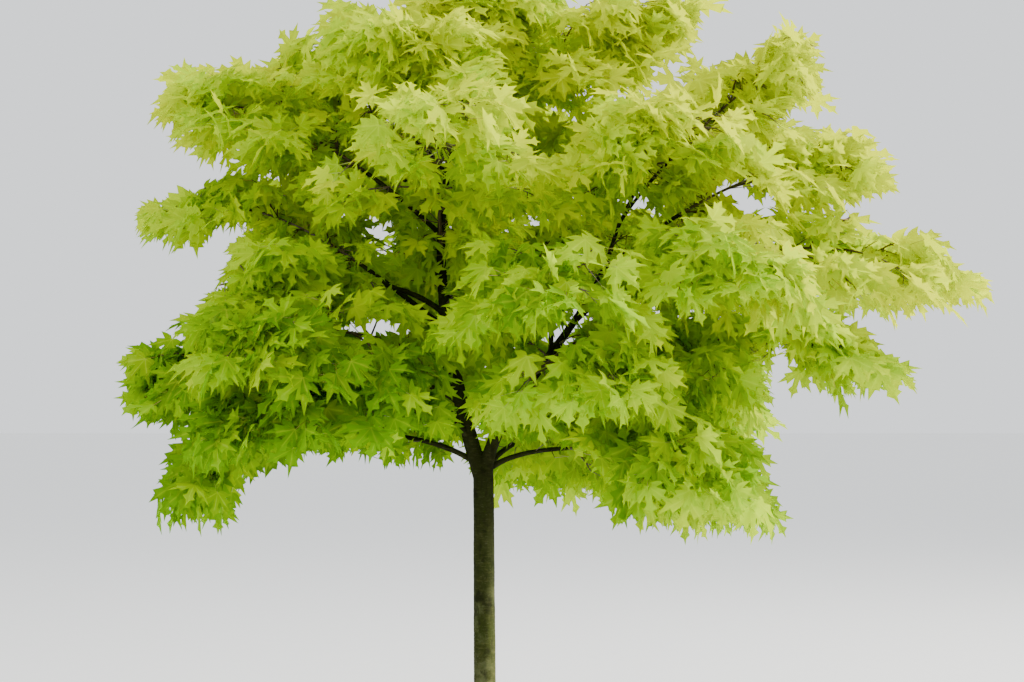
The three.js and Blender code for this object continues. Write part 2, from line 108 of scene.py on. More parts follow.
# Limbs: tier, the stem that each leaves and at what height, bearing, reach and the height of its tip
LIMBS = {
    "low_left": ("low", "trunk", 1.44, 178, 1.38, 1.38),
    "low_back_left": ("low", "left_leader", 1.6, 138, 1.42, 1.56),
    "low_back_right": ("low", "trunk", 1.425, 58, 1.4, 1.39),
    "low_right": ("low", "trunk", 1.425, 358, 1.13, 1.31),
    "low_front_right": ("low", "right_leader", 1.56, 314, 1.34, 1.4),
    "low_front_left": ("low", "left_leader", 1.56, 224, 1.36, 1.6),
    "lower_left": ("lower", "left_leader", 1.7, 188, 1.49, 1.78),
    "lower_back": ("lower", "left_leader", 1.84, 112, 1.48, 1.78),
    "lower_back_right": ("lower", "right_leader", 1.8, 42, 1.5, 1.77),
    "lower_right": ("lower", "right_leader", 1.64, 345, 1.6, 1.91),
    "lower_front": ("lower", "right_leader", 1.7, 290, 1.4, 1.77),
    "lower_front_left": ("lower", "left_leader", 1.78, 230, 1.45, 1.88),
    "middle_left": ("middle", "left_leader", 2, 172, 1.43, 2.58),
    "middle_back": ("middle", "left_leader", 2.18, 110, 1.5, 2.23),
    "middle_back_right": ("middle", "left_leader", 2.12, 52, 1.56, 2.4),
    "far_right": ("middle", "right_leader", 2.11, 0, 1.955, 2.28),
    "middle_front_right": ("middle", "right_leader", 2, 316, 1.52, 2.2),
    "middle_front": ("middle", "right_leader", 1.9, 280, 1.42, 2.1),
    "middle_front_left": ("middle", "left_leader", 2.06, 214, 1.4, 2.13),
    "upper_left": ("upper", "left_leader", 2.38, 187, 1.31, 2.99),
    "upper_back_left": ("upper", "left_leader", 2.46, 128, 1.22, 2.8),
    "upper_back_right": ("upper", "left_leader", 2.4, 48, 1.3, 2.95),
    "upper_right": ("upper", "right_leader", 2.2, 8, 1.6, 2.78),
    "upper_front_right": ("upper", "right_leader", 2.36, 312, 1.18, 2.77),
    "upper_front": ("upper", "left_leader", 2.3, 262, 1.28, 2.78),
    "top_left": ("top", "left_leader", 2.62, 160, 1.07, 3.24),
    "top_right": ("top", "right_leader", 2.385, 354, 1.37, 3.23),
    "top_back_left": ("top", "left_leader", 2.78, 125, 0.82, 3.47),
    "top_front_left": ("top", "left_leader", 2.7, 240, 0.78, 3.2),
    "top_middle_right": ("top", "left_leader", 2.86, 8, 0.87, 3.39),
    "top": ("top", "left_leader", 2.95, 40, 0.15, 3.6),
}
# Limbs without a bough, whose masses grow straight from a leader
BARE = ("upper_front", "top_back_left", "top_front_left", "top_middle_right", "top")
# How much of the full sag the twigs of a tier have, and how far its limbs' tips sink
SAG = {"low": 0.3, "lower": 0.6, "middle": 0.7, "upper": 0.75, "top": 0.8}
SINK = {"low": 0.12, "lower": 0.06, "middle": 0.1, "upper": 0.06, "top": 0.05}
# Limbs whose tips sink further than their tier's
HEAVY = {
    "middle_left": 0.2,
    "low_left": 0.15,
    "lower_back_right": 0.26,
    "lower_right": 0.09,
    "upper_right": 0.15,
}
# Pairs of side twigs along a mass's stem: place, spread and tilt
PAIRS = (
    (0.03, 72, -20),
    (0.18, 66, 42),
    (0.34, 64, -18),
    (0.5, 58, 42),
    (0.65, 55, -16),
    (0.8, 52, 30),
    (0.94, 46, -4),
)
# Boughs: their radii, the collar at their root, the share of the limb that is bare, and the handles of
# its line as shares of its length
BOUGH = {
    "root_radius": 0.013,
    "root_share": 0.62,
    "tip_radius": 0.008,
    "collar": 0.5,
    "collar_share": 0.12,
    "share": 0.36,
    "root_handle": 0.22,
    "tip_handle": 0.33,
}
BARE_START = 0.1
SHORTEST_TWIG = 0.09
LEAF_REACH = 0.7
SPACE_ROOM = 0.03
TILT_WANDER = 8
SPREAD_WANDER = 8
FIRST_SEED = 101
SEED_STEP = 37
# Numbers of the repeatable draws, as in the source of the solids
DRAW_FACTOR = 1664525
DRAW_STEP = 1013904223
DRAW_RANGE = 4294967296
# Exactness of a line: the steps that its length is measured in, the step that gives its direction, and how
# often the search for a height is halved
CURVE_STEPS = 200
CURVE_NEAR = 0.0001
CURVE_HALVINGS = 30

# How the finer parts grow: ranges in brackets are drawn from, angles are in degrees, radii and steps in
# metres, and the rest are shares. First a leaf: its stalk, and the places that are tried for openings.
LEAF = {
    "stalk": (0.75, 1.2),
    "lift": (-24, 14),
    "level": 0.2,
    "face_wander": 0.35,
    "tip_room": 0.02,
    "middle": 0.45,
    "probes": (0.1, 0.45, 0.8),
    "stalk_radii": (0.0014, 0.001),
}
# A shoot: it has one pair of leaves, and one more for each length that it passes
SHOOT = {
    "room": 0.03,
    "pair_lengths": (0.05, 0.085),
    "pair_spacing": 0.4,
    "side": (-20, 30),
    "spread": (42, 72),
    "size": (0.74, 1.14),
    "first_pair": 0.92,
    "end_size": (0.72, 1.0),
    "radii": (0.0024, 0.002, 0.0015),
}
# A side twig: its bow, where its first and last pairs of shoots stand, and how the pairs turn by turns
TWIG = {
    "bow": (-0.05, 0.05),
    "lift": 0.04,
    "first": 0.62,
    "room": 0.35,
    "sides": ((-70, 40), (-20, 15)),
    "spread": (42, 62),
    "shoot": (0.45, 1.15),
    "end_shoot": 0.8,
    "step": 0.05,
    "tip_radius": 0.0022,
}
# The stem of a mass, with its own shoots and its last twig
STEM = {
    "steps": 18,
    "radii": (0.0078, 0.0028),
    "twig_radius": 0.0046,
    "cut_back": 0.85,
    "side": (-75, 75),
    "spread": (48, 75),
    "shoot": (0.7, 1.4),
    "last": 0.4,
    "last_length": 0.5,
    "last_radius": 0.003,
}
# Shoots on the outer part of a bough
SPUR = {
    "pairs": 5,
    "start": 0.2,
    "side": (-60, 60),
    "spread": (50, 80),
    "shoot": (0.7, 1.5),
}
# Short twigs round a leader: its bare share, their spacing and the turn from one to the next
LEADER = {
    "bare": 0.3,
    "end": 0.98,
    "spacing": 0.07,
    "turn": 137.5,
    "spread": (50, 85),
    "length": (0.14, 0.34),
    "radius": 0.0036,
}

# The crown: its middle and radius from above, its left edge and width, and how low its leaves may hang
CROWN_MIDDLE = 0.1
CROWN_RADIUS = 1.5
CROWN_LEFT = -1.5
CROWN_WIDTH = 3.3
CROWN_FOOT = 1.02
# Heights, as a start and a rise, over which leaves turn from hanging to level, from inner to outer, and
# from green to gold; the gold rise is partly the leaves' own colour and partly painted sunlight on the top
HANG_RISE = (1.5, 1.5)
RIM_RISE = (2.1, 1.2)
GOLD_RISE = (1.65, 1.3)
# How much each thing counts for a leaf's tint, and the size and weight of the patches. Height and sun make
# the top and the right side lighter, which is painted sunlight, and inside makes leaves deep in a mass darker
# and greener, partly painted shade and partly the greener colour of shaded leaves, on top of their own gold
# and green
TINT = {
    "height": 0.68,
    "sun": 0.55,
    "outside": 0.06,
    "inside": 0.16,
    "inner_depth": 0.85,
    "base": 0.07,
    "wander": 0.07,
}
TINT_PATCHES = ((2.6, 0.26), (9, 0.24))

# Tints of the leaves, from green to gold and from dark to light: partly the leaves' own colours and partly
# painted light, the darker tints painting shade and the lighter ones sunlight
TINTS = (
    ("leaf_shade", (0.17, 0.38, 0.001)),
    ("leaf_green", (0.27, 0.49, 0.001)),
    ("leaf_grass", (0.38, 0.60, 0.001)),
    ("leaf_lime", (0.49, 0.69, 0.001)),
    ("leaf_fresh", (0.56, 0.755, 0.001)),
    ("leaf_lemon", (0.635, 0.785, 0.001)),
    ("leaf_gold", (0.69, 0.80, 0.001)),
    ("leaf_bright", (0.745, 0.82, 0.001)),
)

# The camera: its place, its turn up from looking straight down, and its lens and sensor in millimetres
EYE = Vector((0.104, -7.964, 1.6))
EYE_TURN = 92.56
EYE_LENS = 70
EYE_SENSOR = 36
# Openings that the photo shows, on the trunk's plane as the camera sees it: middle across and up, half
# width and half height. The first two lie round the fork and are open only further back than its depth.
OPENINGS = (
    (0.03, 1.34, 0.24, 0.24),
    (0.3, 1.3, 0.17, 0.19),
    (-1.4, 2.2, 0.36, 0.13),
    (-1.44, 2.58, 0.28, 0.11),
    (-0.63, 1.32, 0.4, 0.19),
    (-1.6, 1.71, 0.13, 0.14),
    (-1.42, 1.47, 0.15, 0.16),
    (-1.45, 1.3, 0.13, 0.11),
    (-1.39, 1.95, 0.13, 0.04),
    (-0.93, 3.12, 0.1, 0.09),
    (-1.36, 2.98, 0.09, 0.05),
    (-1.45, 2.91, 0.09, 0.07),
    (-1.07, 2.35, 0.13, 0.06),
    (0.996, 3.2, 0.12, 0.15),
    (1.44, 3.1, 0.1, 0.17),
    (1.41, 3.26, 0.09, 0.06),
    (1.25, 2.86, 0.09, 0.045),
    (1.74, 2.46, 0.25, 0.1),
    (1.67, 1.9, 0.07, 0.06),
    (-0.44, 1.99, 0.13, 0.05),
    (-0.6, 1.98, 0.08, 0.035),
    (-0.41, 2.3, 0.045, 0.04),
    (1.036, 2.528, 0.15, 0.035),
    (0.896, 3.07, 0.055, 0.04),
    (1.516, 2.048, 0.07, 0.055),
    (1.216, 1.872, 0.065, 0.05),
    (0.93, 1.12, 0.2, 0.045),
)
FORK_OPENINGS = 2
FORK_DEPTH = 0.12
# Stretches of stems and limbs that show in front of the leaves, and the clear width on either side
SHOWN_STEPS = 40
SHOWN = (
    ("left_leader", 0.0, 0.2, 0.03),
    ("left_leader", 0.42, 0.98, 0.03),
    ("right_leader", 0.0, 0.12, 0.03),
    ("right_leader", 0.44, 0.7, 0.055),
    ("right_leader", 0.7, 0.98, 0.035),
    ("top_right", 0.02, 0.7, 0.034),
    ("low_right", 0.0, 0.36, 0.03),
    ("low_left", 0.0, 0.3, 0.03),
    ("far_right", 0.5, 0.8, 0.03),
    ("upper_left", 0.0, 0.5, 0.03),
    ("top_left", 0.0, 0.55, 0.03),
    ("middle_left", 0.2, 0.6, 0.03),
    ("upper_right", 0.3, 0.6, 0.03),
    ("middle_front_left", 0.02, 0.3, 0.03),
)

# Half of a leaf, from its stalk to its tip: across, along, how far the point lies on a rib, and its lift
LEAF_HALF = {
    "stalk": (0.0, 0.0, 1.0, 0.0),
    "rib1": (0.0, 0.3, 1.0, -0.02),
    "rib2": (0.0, 0.64, 1.0, -0.02),
    "tip": (0.0, 1.04, 0.5, 0.0),
    "c1": (0.052, 0.85, 0.0, 0.02),
    "c2": (0.2, 0.78, 0.0, 0.05),
    "c3": (0.095, 0.62, 0.0, 0.025),
    "notch1": (0.105, 0.33, 0.0, 0.03),
    "s1": (0.285, 0.6, 0.0, 0.055),
    "s2": (0.345, 0.475, 0.0, 0.03),
    "side_tip": (0.655, 0.64, 0.5, 0.0),
    "side1": (0.2, 0.2, 1.0, -0.015),
    "side2": (0.4, 0.39, 1.0, -0.015),
    "s3": (0.46, 0.345, 0.0, 0.025),
    "s4": (0.575, 0.25, 0.0, 0.055),
    "notch2": (0.27, 0.11, 0.0, 0.03),
    "base1": (0.2, 0.005, 0.9, -0.01),
    "base_tip": (0.54, -0.07, 0.4, 0.01),
    "b1": (0.28, -0.105, 0.0, 0.035),
    "b2": (0.12, -0.1, 0.0, 0.03),
}
LEAF_FACES = (
    ("stalk", "notch1", "rib1"), ("rib1", "notch1", "c3"), ("rib1", "c3", "rib2"), ("rib2", "c3", "c2"),
    ("rib2", "c2", "c1"), ("rib2", "c1", "tip"),
    ("stalk", "side1", "notch1"), ("side1", "s1", "notch1"), ("side1", "side2", "s1"), ("side2", "s2", "s1"),
    ("side2", "side_tip", "s2"),
    ("stalk", "notch2", "side1"), ("side1", "notch2", "s4"), ("side1", "s4", "side2"), ("side2", "s4", "s3"),
    ("side2", "s3", "side_tip"),
    ("stalk", "base1", "notch2"), ("base1", "base_tip", "notch2"), ("stalk", "b2", "base1"),
    ("b2", "b1", "base1"), ("base1", "b1", "base_tip"),
)
# Forms of the leaf, and the ranges of their droop, wings, cup, twist, width and length
FORMS = {
    "count": 8,
    "seed": 5,
    "droop": (0.08, 0.34),
    "wings": (0.05, 0.32),
    "cup": (0.8, 1.9),
    "twist": (-0.16, 0.16),
    "width": (-0.07, 0.07),
    "length": (-0.03, 0.03),
}

# The skins: rings round the trunk from below its cut, close over the flare and wider above, steps and sides
# of the other tubes, the smoothing of the trunk's joins and the boughs' share of its relief
SKIN = {
    "trunk_sides": 48,
    "sunk": 0.05,
    "flare_rings": 21,
    "flare_step": 0.012,
    "upper_start": 0.2,
    "upper_step": 0.04,
    "leader_steps": 90,
    "leader_sides": 24,
    "smoothing": 0.5,
    "smoothings": 7,
    "bough_steps": 46,
    "bough_sides": 14,
    "bough_relief": 0.55,
    "twig_sides": 6,
    "shoot_sides": 3,
}
# Relief of the bark: scale across and up, and weight, of the rings and the swellings, and the fine pits
RELIEF_RINGS = (9, 130, 0.45)
RELIEF_SWELL = (24, 10, 0.7)
RELIEF_SHIFT = Vector((7, 3, 1))
RELIEF_PITS = (160, 0.25)
# Looks of a leaf: its darkest tone, how pale, thin and strong its ribs are, and the light that comes through.
# The pale ribs are partly the veins' own colour and partly a painted highlight along them
LEAF_LOOK = {
    "deep": 0.55,
    "rib_pale_and_highlight": 0.55,
    "rib_edge": 7.0,
    "rib_strength": 0.75,
    "through": 1.2,
}
STALK_GREEN = (0.34, 0.42, 0.05)
STALK_RED = (0.42, 0.2, 0.06)
TWIG_DARK = (0.045, 0.026, 0.012)
TWIG_LIGHT = (0.13, 0.085, 0.035)
TWIG_DOTS = (0.3, 0.24, 0.14)
# Patterns of the bark: the space that each lies in, its scale, detail and roughness
BARK_SPACES = {"flat": (1, 1, 4.5), "tall": (1, 1, 0.16)}
BARK_PATTERNS = {
    "broad": ("even", 7.0, 4.0, 0.5),
    "green": ("even", 4.4, 3.0, 0.5),
    "stains": ("even", 17.0, 4.0, 0.62),
    "worn": ("even", 9.0, 5.0, 0.65),
    "bands": ("flat", 26.0, 5.0, 0.6),
    "flecks": ("flat", 85.0, 2.0, 0.5),
    "seams": ("tall", 95.0, 4.0, 0.65),
    "grain": ("even", 380.0, 3.0, 0.5),
}
# Marks on the bark: the level that the pattern passes, its sharpness, which is negative where the marks lie
# below the level, their strength and their colour. The green cast takes its colour from the settings.
BARK_GREEN = (0.38, 3.6, 0.85)
BARK_MARKS = {
    "worn": (0.48, 6, 0.85, (0.13, 0.14, 0.06)),
    "bands": (0.52, 6, 0.5, (0.09, 0.088, 0.026)),
    "flecks": (0.6, 9, 0.4, (0.15, 0.145, 0.085)),
    "stains": (0.54, 9, 0.8, (0.006, 0.006, 0.001)),
    "seams": (0.43, -8, 0.6, (0.008, 0.007, 0.002)),
    "grain": (0.35, 2, 0.25, (0.016, 0.015, 0.005)),
}
BARK_HEIGHTS = {"bands": 0.5, "flecks": 0.35, "seams": 0.6, "grain": 0.2}
# Painted shade under the crown: bark darkens from this height up, at this pace a metre, by a share towards a
# deeper form of its dark colour
BARK_RISE = (0.5, 1.1)
BARK_SHADE = 0.55
BARK_DEEP = 0.7
# The bark's least roughness, and how much the flecks add to it
BARK_ROUGH = (0.72, 0.22)

# The stage: the floor's size and its darker share, the colour of the light all round, and each light's
# place, size, colour, aim and spread in degrees
FLOOR_SIZE = 2400
FLOOR_DARKER = 0.97
SKY_COLOUR = (0.94, 0.97, 1.0)
LIGHTS = {
    "key": ((10.0, 2.6, 11.5), 3.6, (1.0, 0.97, 0.88), (0, 0, 2.1), 180),
    "fill": ((-3.5, -6.5, 4.0), 4.0, (0.95, 0.98, 1.0), (0, 0, 2.1), 180),
    "low": ((5.0, 0.35, 0.7), 0.6, (1.0, 0.97, 0.88), (0, 0, 0.4), 20),
}


def seeded(seed):
    """A generator of numbers from 0 to 1 that repeats for a seed, the same as in the source of the solids."""
    state = seed
    while True:
        state = (state * DRAW_FACTOR + DRAW_STEP) % DRAW_RANGE
        yield state / DRAW_RANGE


def mix(a, b, share):
    """A value or vector between two."""
    return a + (b - a) * share


def clamp(value):
    """A value kept from 0 to 1."""
    return max(0.0, min(1.0, value))


def risen(point, start, rise):
    """How far a point has risen from a height, from 0 to 1."""
    return clamp((point.z - start) / rise)


def between(one, towards, degrees):
    """Direction at an angle from one unit vector towards another."""
    turn = math.radians(degrees)
    return one * math.cos(turn) + towards * math.sin(turn)


def square(vector, to):
    """A unit vector made square to another."""
    return (vector - to * vector.dot(to)).normalized()


def level_across(along):
    """A unit vector square to a direction: level, or along X where the direction is nearly upright."""
    return square(Vector((1, 0, 0)) if abs(along.z) > UPRIGHT else along.cross(UP), along)


def side_way(along, across, hand, tilt, spread):
    """The way of a side twig: on one hand of its line, tilted round the line and spread from it."""
    side = between(across * hand, across.cross(along), tilt)
    return between(along, side, spread).normalized()


class Curve:
    """A cubic Bezier line."""

    def __init__(self, points):
        self.points = [Vector(p) for p in points]
        steps = [self.at(i / CURVE_STEPS) for i in range(CURVE_STEPS + 1)]
        self.length = sum((b - a).length for a, b in zip(steps, steps[1:]))

    def at(self, t):
        a, b, c, d = self.points
        s = 1 - t
        return a * (s * s * s) + b * (3 * s * s * t) + c * (3 * s * t * t) + d * (t * t * t)

    def along(self, t):
        low, high = max(0.0, t - CURVE_NEAR), min(1.0, t + CURVE_NEAR)
        return (self.at(high) - self.at(low)).normalized()

    def place_at_height(self, height):
        low, high = 0.0, 1.0
        for _ in range(CURVE_HALVINGS):
            middle = (low + high) / 2
            if self.at(middle).z < height:
                low = middle
            else:
                high = middle
        return low


def trunk_line():
    """The trunk's line as a curve."""
    top = Vector((TRUNK["lean"], 0, TRUNK["fork"]))
    return Curve([top * 0, top / 3, top * 2 / 3, top])


@lru_cache(maxsize=1)
def stems():
    """The curve and the radii of each stem that limbs leave."""
    found = {"trunk": (trunk_line(), TRUNK["foot_radius"], TRUNK["fork_radius"])}
    for name, (line, root, tip) in LEADERS.items():
        found[name] = (Curve(line), root, tip)
    return found


class Limb:
    """One limb: its line, its bough's radius and the space that its leaves keep to."""

    def __init__(self, name, number, tier, stem, leaves, bearing, reach, tip):
        self.name, self.bare = name, name in BARE
        rise, fall, width, height, self.leaf = TIERS[tier]
        self.sag, self.sink = SAG[tier], HEAVY.get(name, SINK[tier])
        self.seed = FIRST_SEED + SEED_STEP * number
        line, root_radius, tip_radius = stems()[stem]
        place = line.place_at_height(leaves)
        root = line.at(place)
        turn = math.radians(bearing)
        end = Vector((reach * math.cos(turn), reach * math.sin(turn), tip))
        outward = Vector((end.x - root.x, end.y - root.y, 0)).normalized()
        chord = (end - root).length
        self.curve = Curve([
            root,
            root + between(outward, UP, rise) * chord * BOUGH["root_handle"],
            end - between(outward, UP, -fall) * chord * BOUGH["tip_handle"],
            end,
        ])
        stem_radius = mix(root_radius, tip_radius, place)
        self.root_radius = min(BOUGH["root_radius"], BOUGH["root_share"] * stem_radius)
        self.start = BARE_START if self.bare else BOUGH["share"]
        self.root = 0 if self.bare else self.start
        self.end = 1 - self.leaf * LEAF_REACH / self.curve.length
        first, last = self.curve.at(self.start), self.curve.at(1)
        axis = (last - first).normalized()
        across = level_across(axis)
        self.centre = mix(first, last, 0.5)
        self.axes = (axis, across, axis.cross(across))
        self.halves = ((last - first).length / 2, width, height)

    def bough_radius(self, share):
        collar = max(0.0, 1 - share / BOUGH["collar_share"])
        return mix(self.root_radius, BOUGH["tip_radius"], share) * (1 + BOUGH["collar"] * collar * collar)

    def sunk(self, place):
        """A point of the line past its bough, sunk under the weight of the leaves."""
        share = (place - self.root) / (1 - self.root)
        return self.curve.at(place) - UP * self.sink * share**3

    def depth(self, point):
        """How far out a point lies in the space, 1 being its edge."""
        offset = point - self.centre
        return math.sqrt(sum((offset.dot(axis) / half) ** 2 for axis, half in zip(self.axes, self.halves)))

    def room(self, point, way):
        """The distance from a point to the edge of the space along a direction."""
        offset = point - self.centre
        start = [offset.dot(axis) / half for axis, half in zip(self.axes, self.halves)]
        step = [way.dot(axis) / half for axis, half in zip(self.axes, self.halves)]
        squares = sum(s * s for s in step)
        half = sum(a * b for a, b in zip(start, step)) / squares
        return math.sqrt(max(0.0, half * half - (sum(a * a for a in start) - 1) / squares)) - half


@lru_cache(maxsize=1)
def limbs():
    """Every limb, in the order of their seeds."""
    return [Limb(name, i, *row) for i, (name, row) in enumerate(LIMBS.items())]


def keeps_to(limb, point, room=SPACE_ROOM):
    """Whether a point lies deeper in a limb's own space than in any other."""
    own = limb.depth(point)
    return all(other is limb or other.depth(point) > own + room for other in limbs())


class Growth:
    """What has grown: tubes as points and radii, and leaves as rows of their values."""

    def __init__(self):
        self.twigs = []
        self.stalks = []
        self.leaves = []


def inside(point, room):
    """Whether a point stays in the solids' box, to within some room."""
    return all(low - room < p < high + room for p, low, high in zip(point, *CAD_BOX))


def seen(point):
    """Where a point shows on the trunk's plane, across and up, seen from the camera."""
    share = -EYE.y / (point.y - EYE.y)
    return EYE.x + (point.x - EYE.x) * share, EYE.z + (point.z - EYE.z) * share


@lru_cache(maxsize=1)
def shown():
    """Points of the stems and limbs that show: across, up, how far back, and the room round each."""
    lines = {name: line for name, (line, _, _) in stems().items()}
    lines.update({limb.name: limb.curve for limb in limbs()})
    rows = []
    for name, start, end, room in SHOWN:
        for i in range(SHOWN_STEPS + 1):
            point = lines[name].at(mix(start, end, i / SHOWN_STEPS))
            rows.append((*seen(point), point.y, room))
    return np.array(rows)


def hides(point):
    """Whether a leaf at a point would cover a stem or limb that shows."""
    rows, (x, z) = shown(), seen(point)
    near = np.hypot(rows[:, 0] - x, rows[:, 1] - z) < rows[:, 3]
    return bool((near & (rows[:, 2] > point.y)).any())


def open_at(point):
    """Whether a point shows in one of the openings, seen from the camera."""
    x, z = seen(point)
    first = FORK_OPENINGS if point.y > FORK_DEPTH else 0
    return any(((x - a) / w) ** 2 + ((z - b) / h) ** 2 < 1 for a, b, w, h in OPENINGS[first:])


def grow_leaf(growth, limb, node, way, size, chance):
    """A leaf on its stalk: the stalk leaves the node one way, and the blade hangs from its end."""
    habit = bpy.context.scene.maple_leaves
    hang = mix(habit.droop, habit.droop_top, risen(node, *HANG_RISE))
    stalk = size * habit.stalk * chance.uniform(*LEAF["stalk"])
    base = node + between(way, UP, chance.uniform(*LEAF["lift"])) * stalk
    outward = Vector((base.x, base.y, 0)).normalized()
    level = Vector((way.x, way.y, 0))
    level = (level.normalized() if level.length > LEAF["level"] else outward) + outward * habit.outward
    level = level.normalized()
    along = between(level, UP, math.degrees(-hang - chance.gauss(0, habit.droop_wander)))
    face = habit.face + chance.gauss(0, LEAF["face_wander"])
    face = UP + outward * face + level.cross(UP) * chance.gauss(0, habit.roll)
    over = square(face, along)
    tip = base + along * size
    if not keeps_to(limb, base, 0) or not inside(tip, LEAF["tip_room"]) or not inside(base, 0):
        return
    if tip.z < CROWN_FOOT or open_at(tip) or open_at(mix(base, tip, LEAF["middle"])):
        return
    if any(hides(mix(base, tip, share)) for share in LEAF["probes"]):
        return
    growth.stalks.append(([node, base], LEAF["stalk_radii"]))
    tint = leaf_tint(base, limb.depth(base), chance)
    growth.leaves.append((base, along, over, size, tint, chance.random()))


def from_middle(point):
    """How far a point lies from the crown's middle, seen from above, 1 being its edge."""
    return math.hypot(point.x - CROWN_MIDDLE, point.y) / CROWN_RADIUS


def rim(point):
    """How near a point comes to the outside or the top of the crown, from 0 to 1."""
    return max(clamp(from_middle(point)), risen(point, *RIM_RISE))


def grow_shoot(growth, limb, root, way, length, chance):
    """A shoot with opposite leaves at its nodes and one at its end; gives whether it has any leaf."""
    habit = bpy.context.scene.maple_leaves
    across = level_across(way)
    end = root + way * length - UP * length * habit.hang * limb.sag
    if not inside(end, -SHOOT["room"]) or open_at(end):
        return False
    before = len(growth.leaves)
    share = mix(habit.share, habit.share_rim, rim(end) ** 2)
    full = mix(habit.length, habit.length_rim, rim(end) ** 2)
    pairs = 1 + sum(length > longer for longer in SHOOT["pair_lengths"])
    for i in range(pairs):
        node = mix(root, end, 1 - SHOOT["pair_spacing"] * i)
        for hand in (1, -1):
            if chance.random() > share:
                continue
            side = between(across * hand, UP, chance.uniform(*SHOOT["side"]))
            size = full * chance.uniform(*SHOOT["size"]) * (SHOOT["first_pair"] if i == 0 else 1)
            leaf_way = between(way, side, chance.uniform(*SHOOT["spread"])).normalized()
            grow_leaf(growth, limb, node, leaf_way, size, chance)
    if chance.random() < share:
        grow_leaf(growth, limb, end, way, full * chance.uniform(*SHOOT["end_size"]), chance)
    if len(growth.leaves) == before:
        return False
    growth.twigs.append(([root, mix(root, end, 0.5), end], SHOOT["radii"]))
    return True


def grow_twig(growth, limb, root, way, length, radius, chance):
    """A side twig with opposite pairs of shoots, turned from pair to pair, up to the last that has leaves."""
    habit = bpy.context.scene.maple_twigs
    bow = way.cross(UP).normalized() * chance.uniform(*TWIG["bow"]) * length + UP * length * TWIG["lift"]
    end = root + way * length - UP * length * habit.sag * limb.sag
    line = Curve([root, root + way * length / 3 + bow, root + way * length * 2 / 3 + bow, end])
    leafy = 0
    count = max(1, round(length / habit.spacing))
    for i in range(count):
        place = (i + TWIG["first"]) / (count + TWIG["room"])
        at, along = line.at(place), line.along(place)
        across = level_across(along)
        for hand in (1, -1):
            tilt = chance.uniform(*TWIG["sides"][i % 2])
            shoot = side_way(along, across, hand, tilt, chance.uniform(*TWIG["spread"]))
            if grow_shoot(growth, limb, at, shoot, habit.shoot * chance.uniform(*TWIG["shoot"]), chance):
                leafy = place
    if grow_shoot(growth, limb, line.at(1), line.along(1), habit.shoot * TWIG["end_shoot"], chance):
        leafy = 1
    if leafy:
        steps = max(2, round(length / TWIG["step"]))
        places = [leafy * i / steps for i in range(steps + 1)]
        radii = [mix(radius, TWIG["tip_radius"], t) for t in places]
        growth.twigs.append(([line.at(t) for t in places], radii))


def grow_shoots(growth, limb, at, along, hands, rule, chance):
    """Shoots straight from a stem or bough, one for each hand."""
    across = level_across(along)
    for hand in hands:
        tilt = chance.uniform(*rule["side"])
        way = side_way(along, across, hand, tilt, chance.uniform(*rule["spread"]))
        length = bpy.context.scene.maple_twigs.shoot * chance.uniform(*rule["shoot"])
        grow_shoot(growth, limb, at, way, length, chance)


def grow_mass(growth, limb):
    """The stem of a mass, its side twigs as in the solids, and finer shoots between them."""
    habit = bpy.context.scene.maple_twigs
    draws = seeded(limb.seed)
    chance = random.Random(limb.seed)
    reach = 1 - habit.tip_room / limb.curve.length
    shares = [i / STEM["steps"] for i in range(STEM["steps"] + 1)]
    line = [limb.sunk(mix(limb.root, reach, share)) for share in shares]
    growth.twigs.append((line, [mix(*STEM["radii"], share) for share in shares]))
    stops = [mix(limb.start, limb.end, place) for place, _, _ in PAIRS] + [reach]
    for number, (_, spread, tilt) in enumerate(PAIRS):
        t = stops[number]
        at, along = limb.sunk(t), limb.curve.along(t)
        across = level_across(along)
        for hand in (1, -1):
            turn = tilt + (next(draws) * 2 - 1) * TILT_WANDER
            apart = spread + (next(draws) * 2 - 1) * SPREAD_WANDER
            way = side_way(along, across, hand, turn, apart)
            length = max(SHORTEST_TWIG, limb.room(at, way) - limb.leaf * LEAF_REACH)
            if not keeps_to(limb, at + way * length):
                continue
            length += habit.beyond
            while length > SHORTEST_TWIG and open_at(at + way * length):
                length *= STEM["cut_back"]
            grow_twig(growth, limb, at, way, length, STEM["twig_radius"], chance)
        between_pairs = mix(t, stops[number + 1], 0.5)
        at, along = limb.sunk(between_pairs), limb.curve.along(between_pairs)
        grow_shoots(growth, limb, at, along, (1, -1, 1, -1), STEM, chance)
    for i in range(0 if limb.bare else SPUR["pairs"]):
        t = limb.start * mix(SPUR["start"], 1, i / SPUR["pairs"])
        grow_shoots(growth, limb, limb.curve.at(t), limb.curve.along(t), (1, -1), SPUR, chance)
    last = limb.sunk(mix(limb.end, reach, STEM["last"]))
    length = habit.tip_room * STEM["last_length"]
    grow_twig(growth, limb, last, limb.curve.along(reach), length, STEM["last_radius"], chance)


def grow_leader(growth, line, seed):
    """Short twigs all round the upper part of a leader, each in the space that its end reaches into."""
    chance = random.Random(seed)
    count = round(line.length * (1 - LEADER["bare"]) / LEADER["spacing"])
    for i in range(count):
        place = mix(LEADER["bare"], LEADER["end"], i / count)
        at, along = line.at(place), line.along(place)
        spread = chance.uniform(*LEADER["spread"])
        way = side_way(along, level_across(along), 1, LEADER["turn"] * i, spread)
        length = chance.uniform(*LEADER["length"])
        limb = min(limbs(), key=lambda other: other.depth(at + way * length))
        grow_twig(growth, limb, at, way, length, LEADER["radius"], chance)


@lru_cache(maxsize=1)
def crown():
    """Everything that grows from the limbs and the leaders."""
    growth = Growth()
    for limb in limbs():
        grow_mass(growth, limb)
    for number, name in enumerate(LEADERS):
        grow_leader(growth, stems()[name][0], number + 1)
    return growth


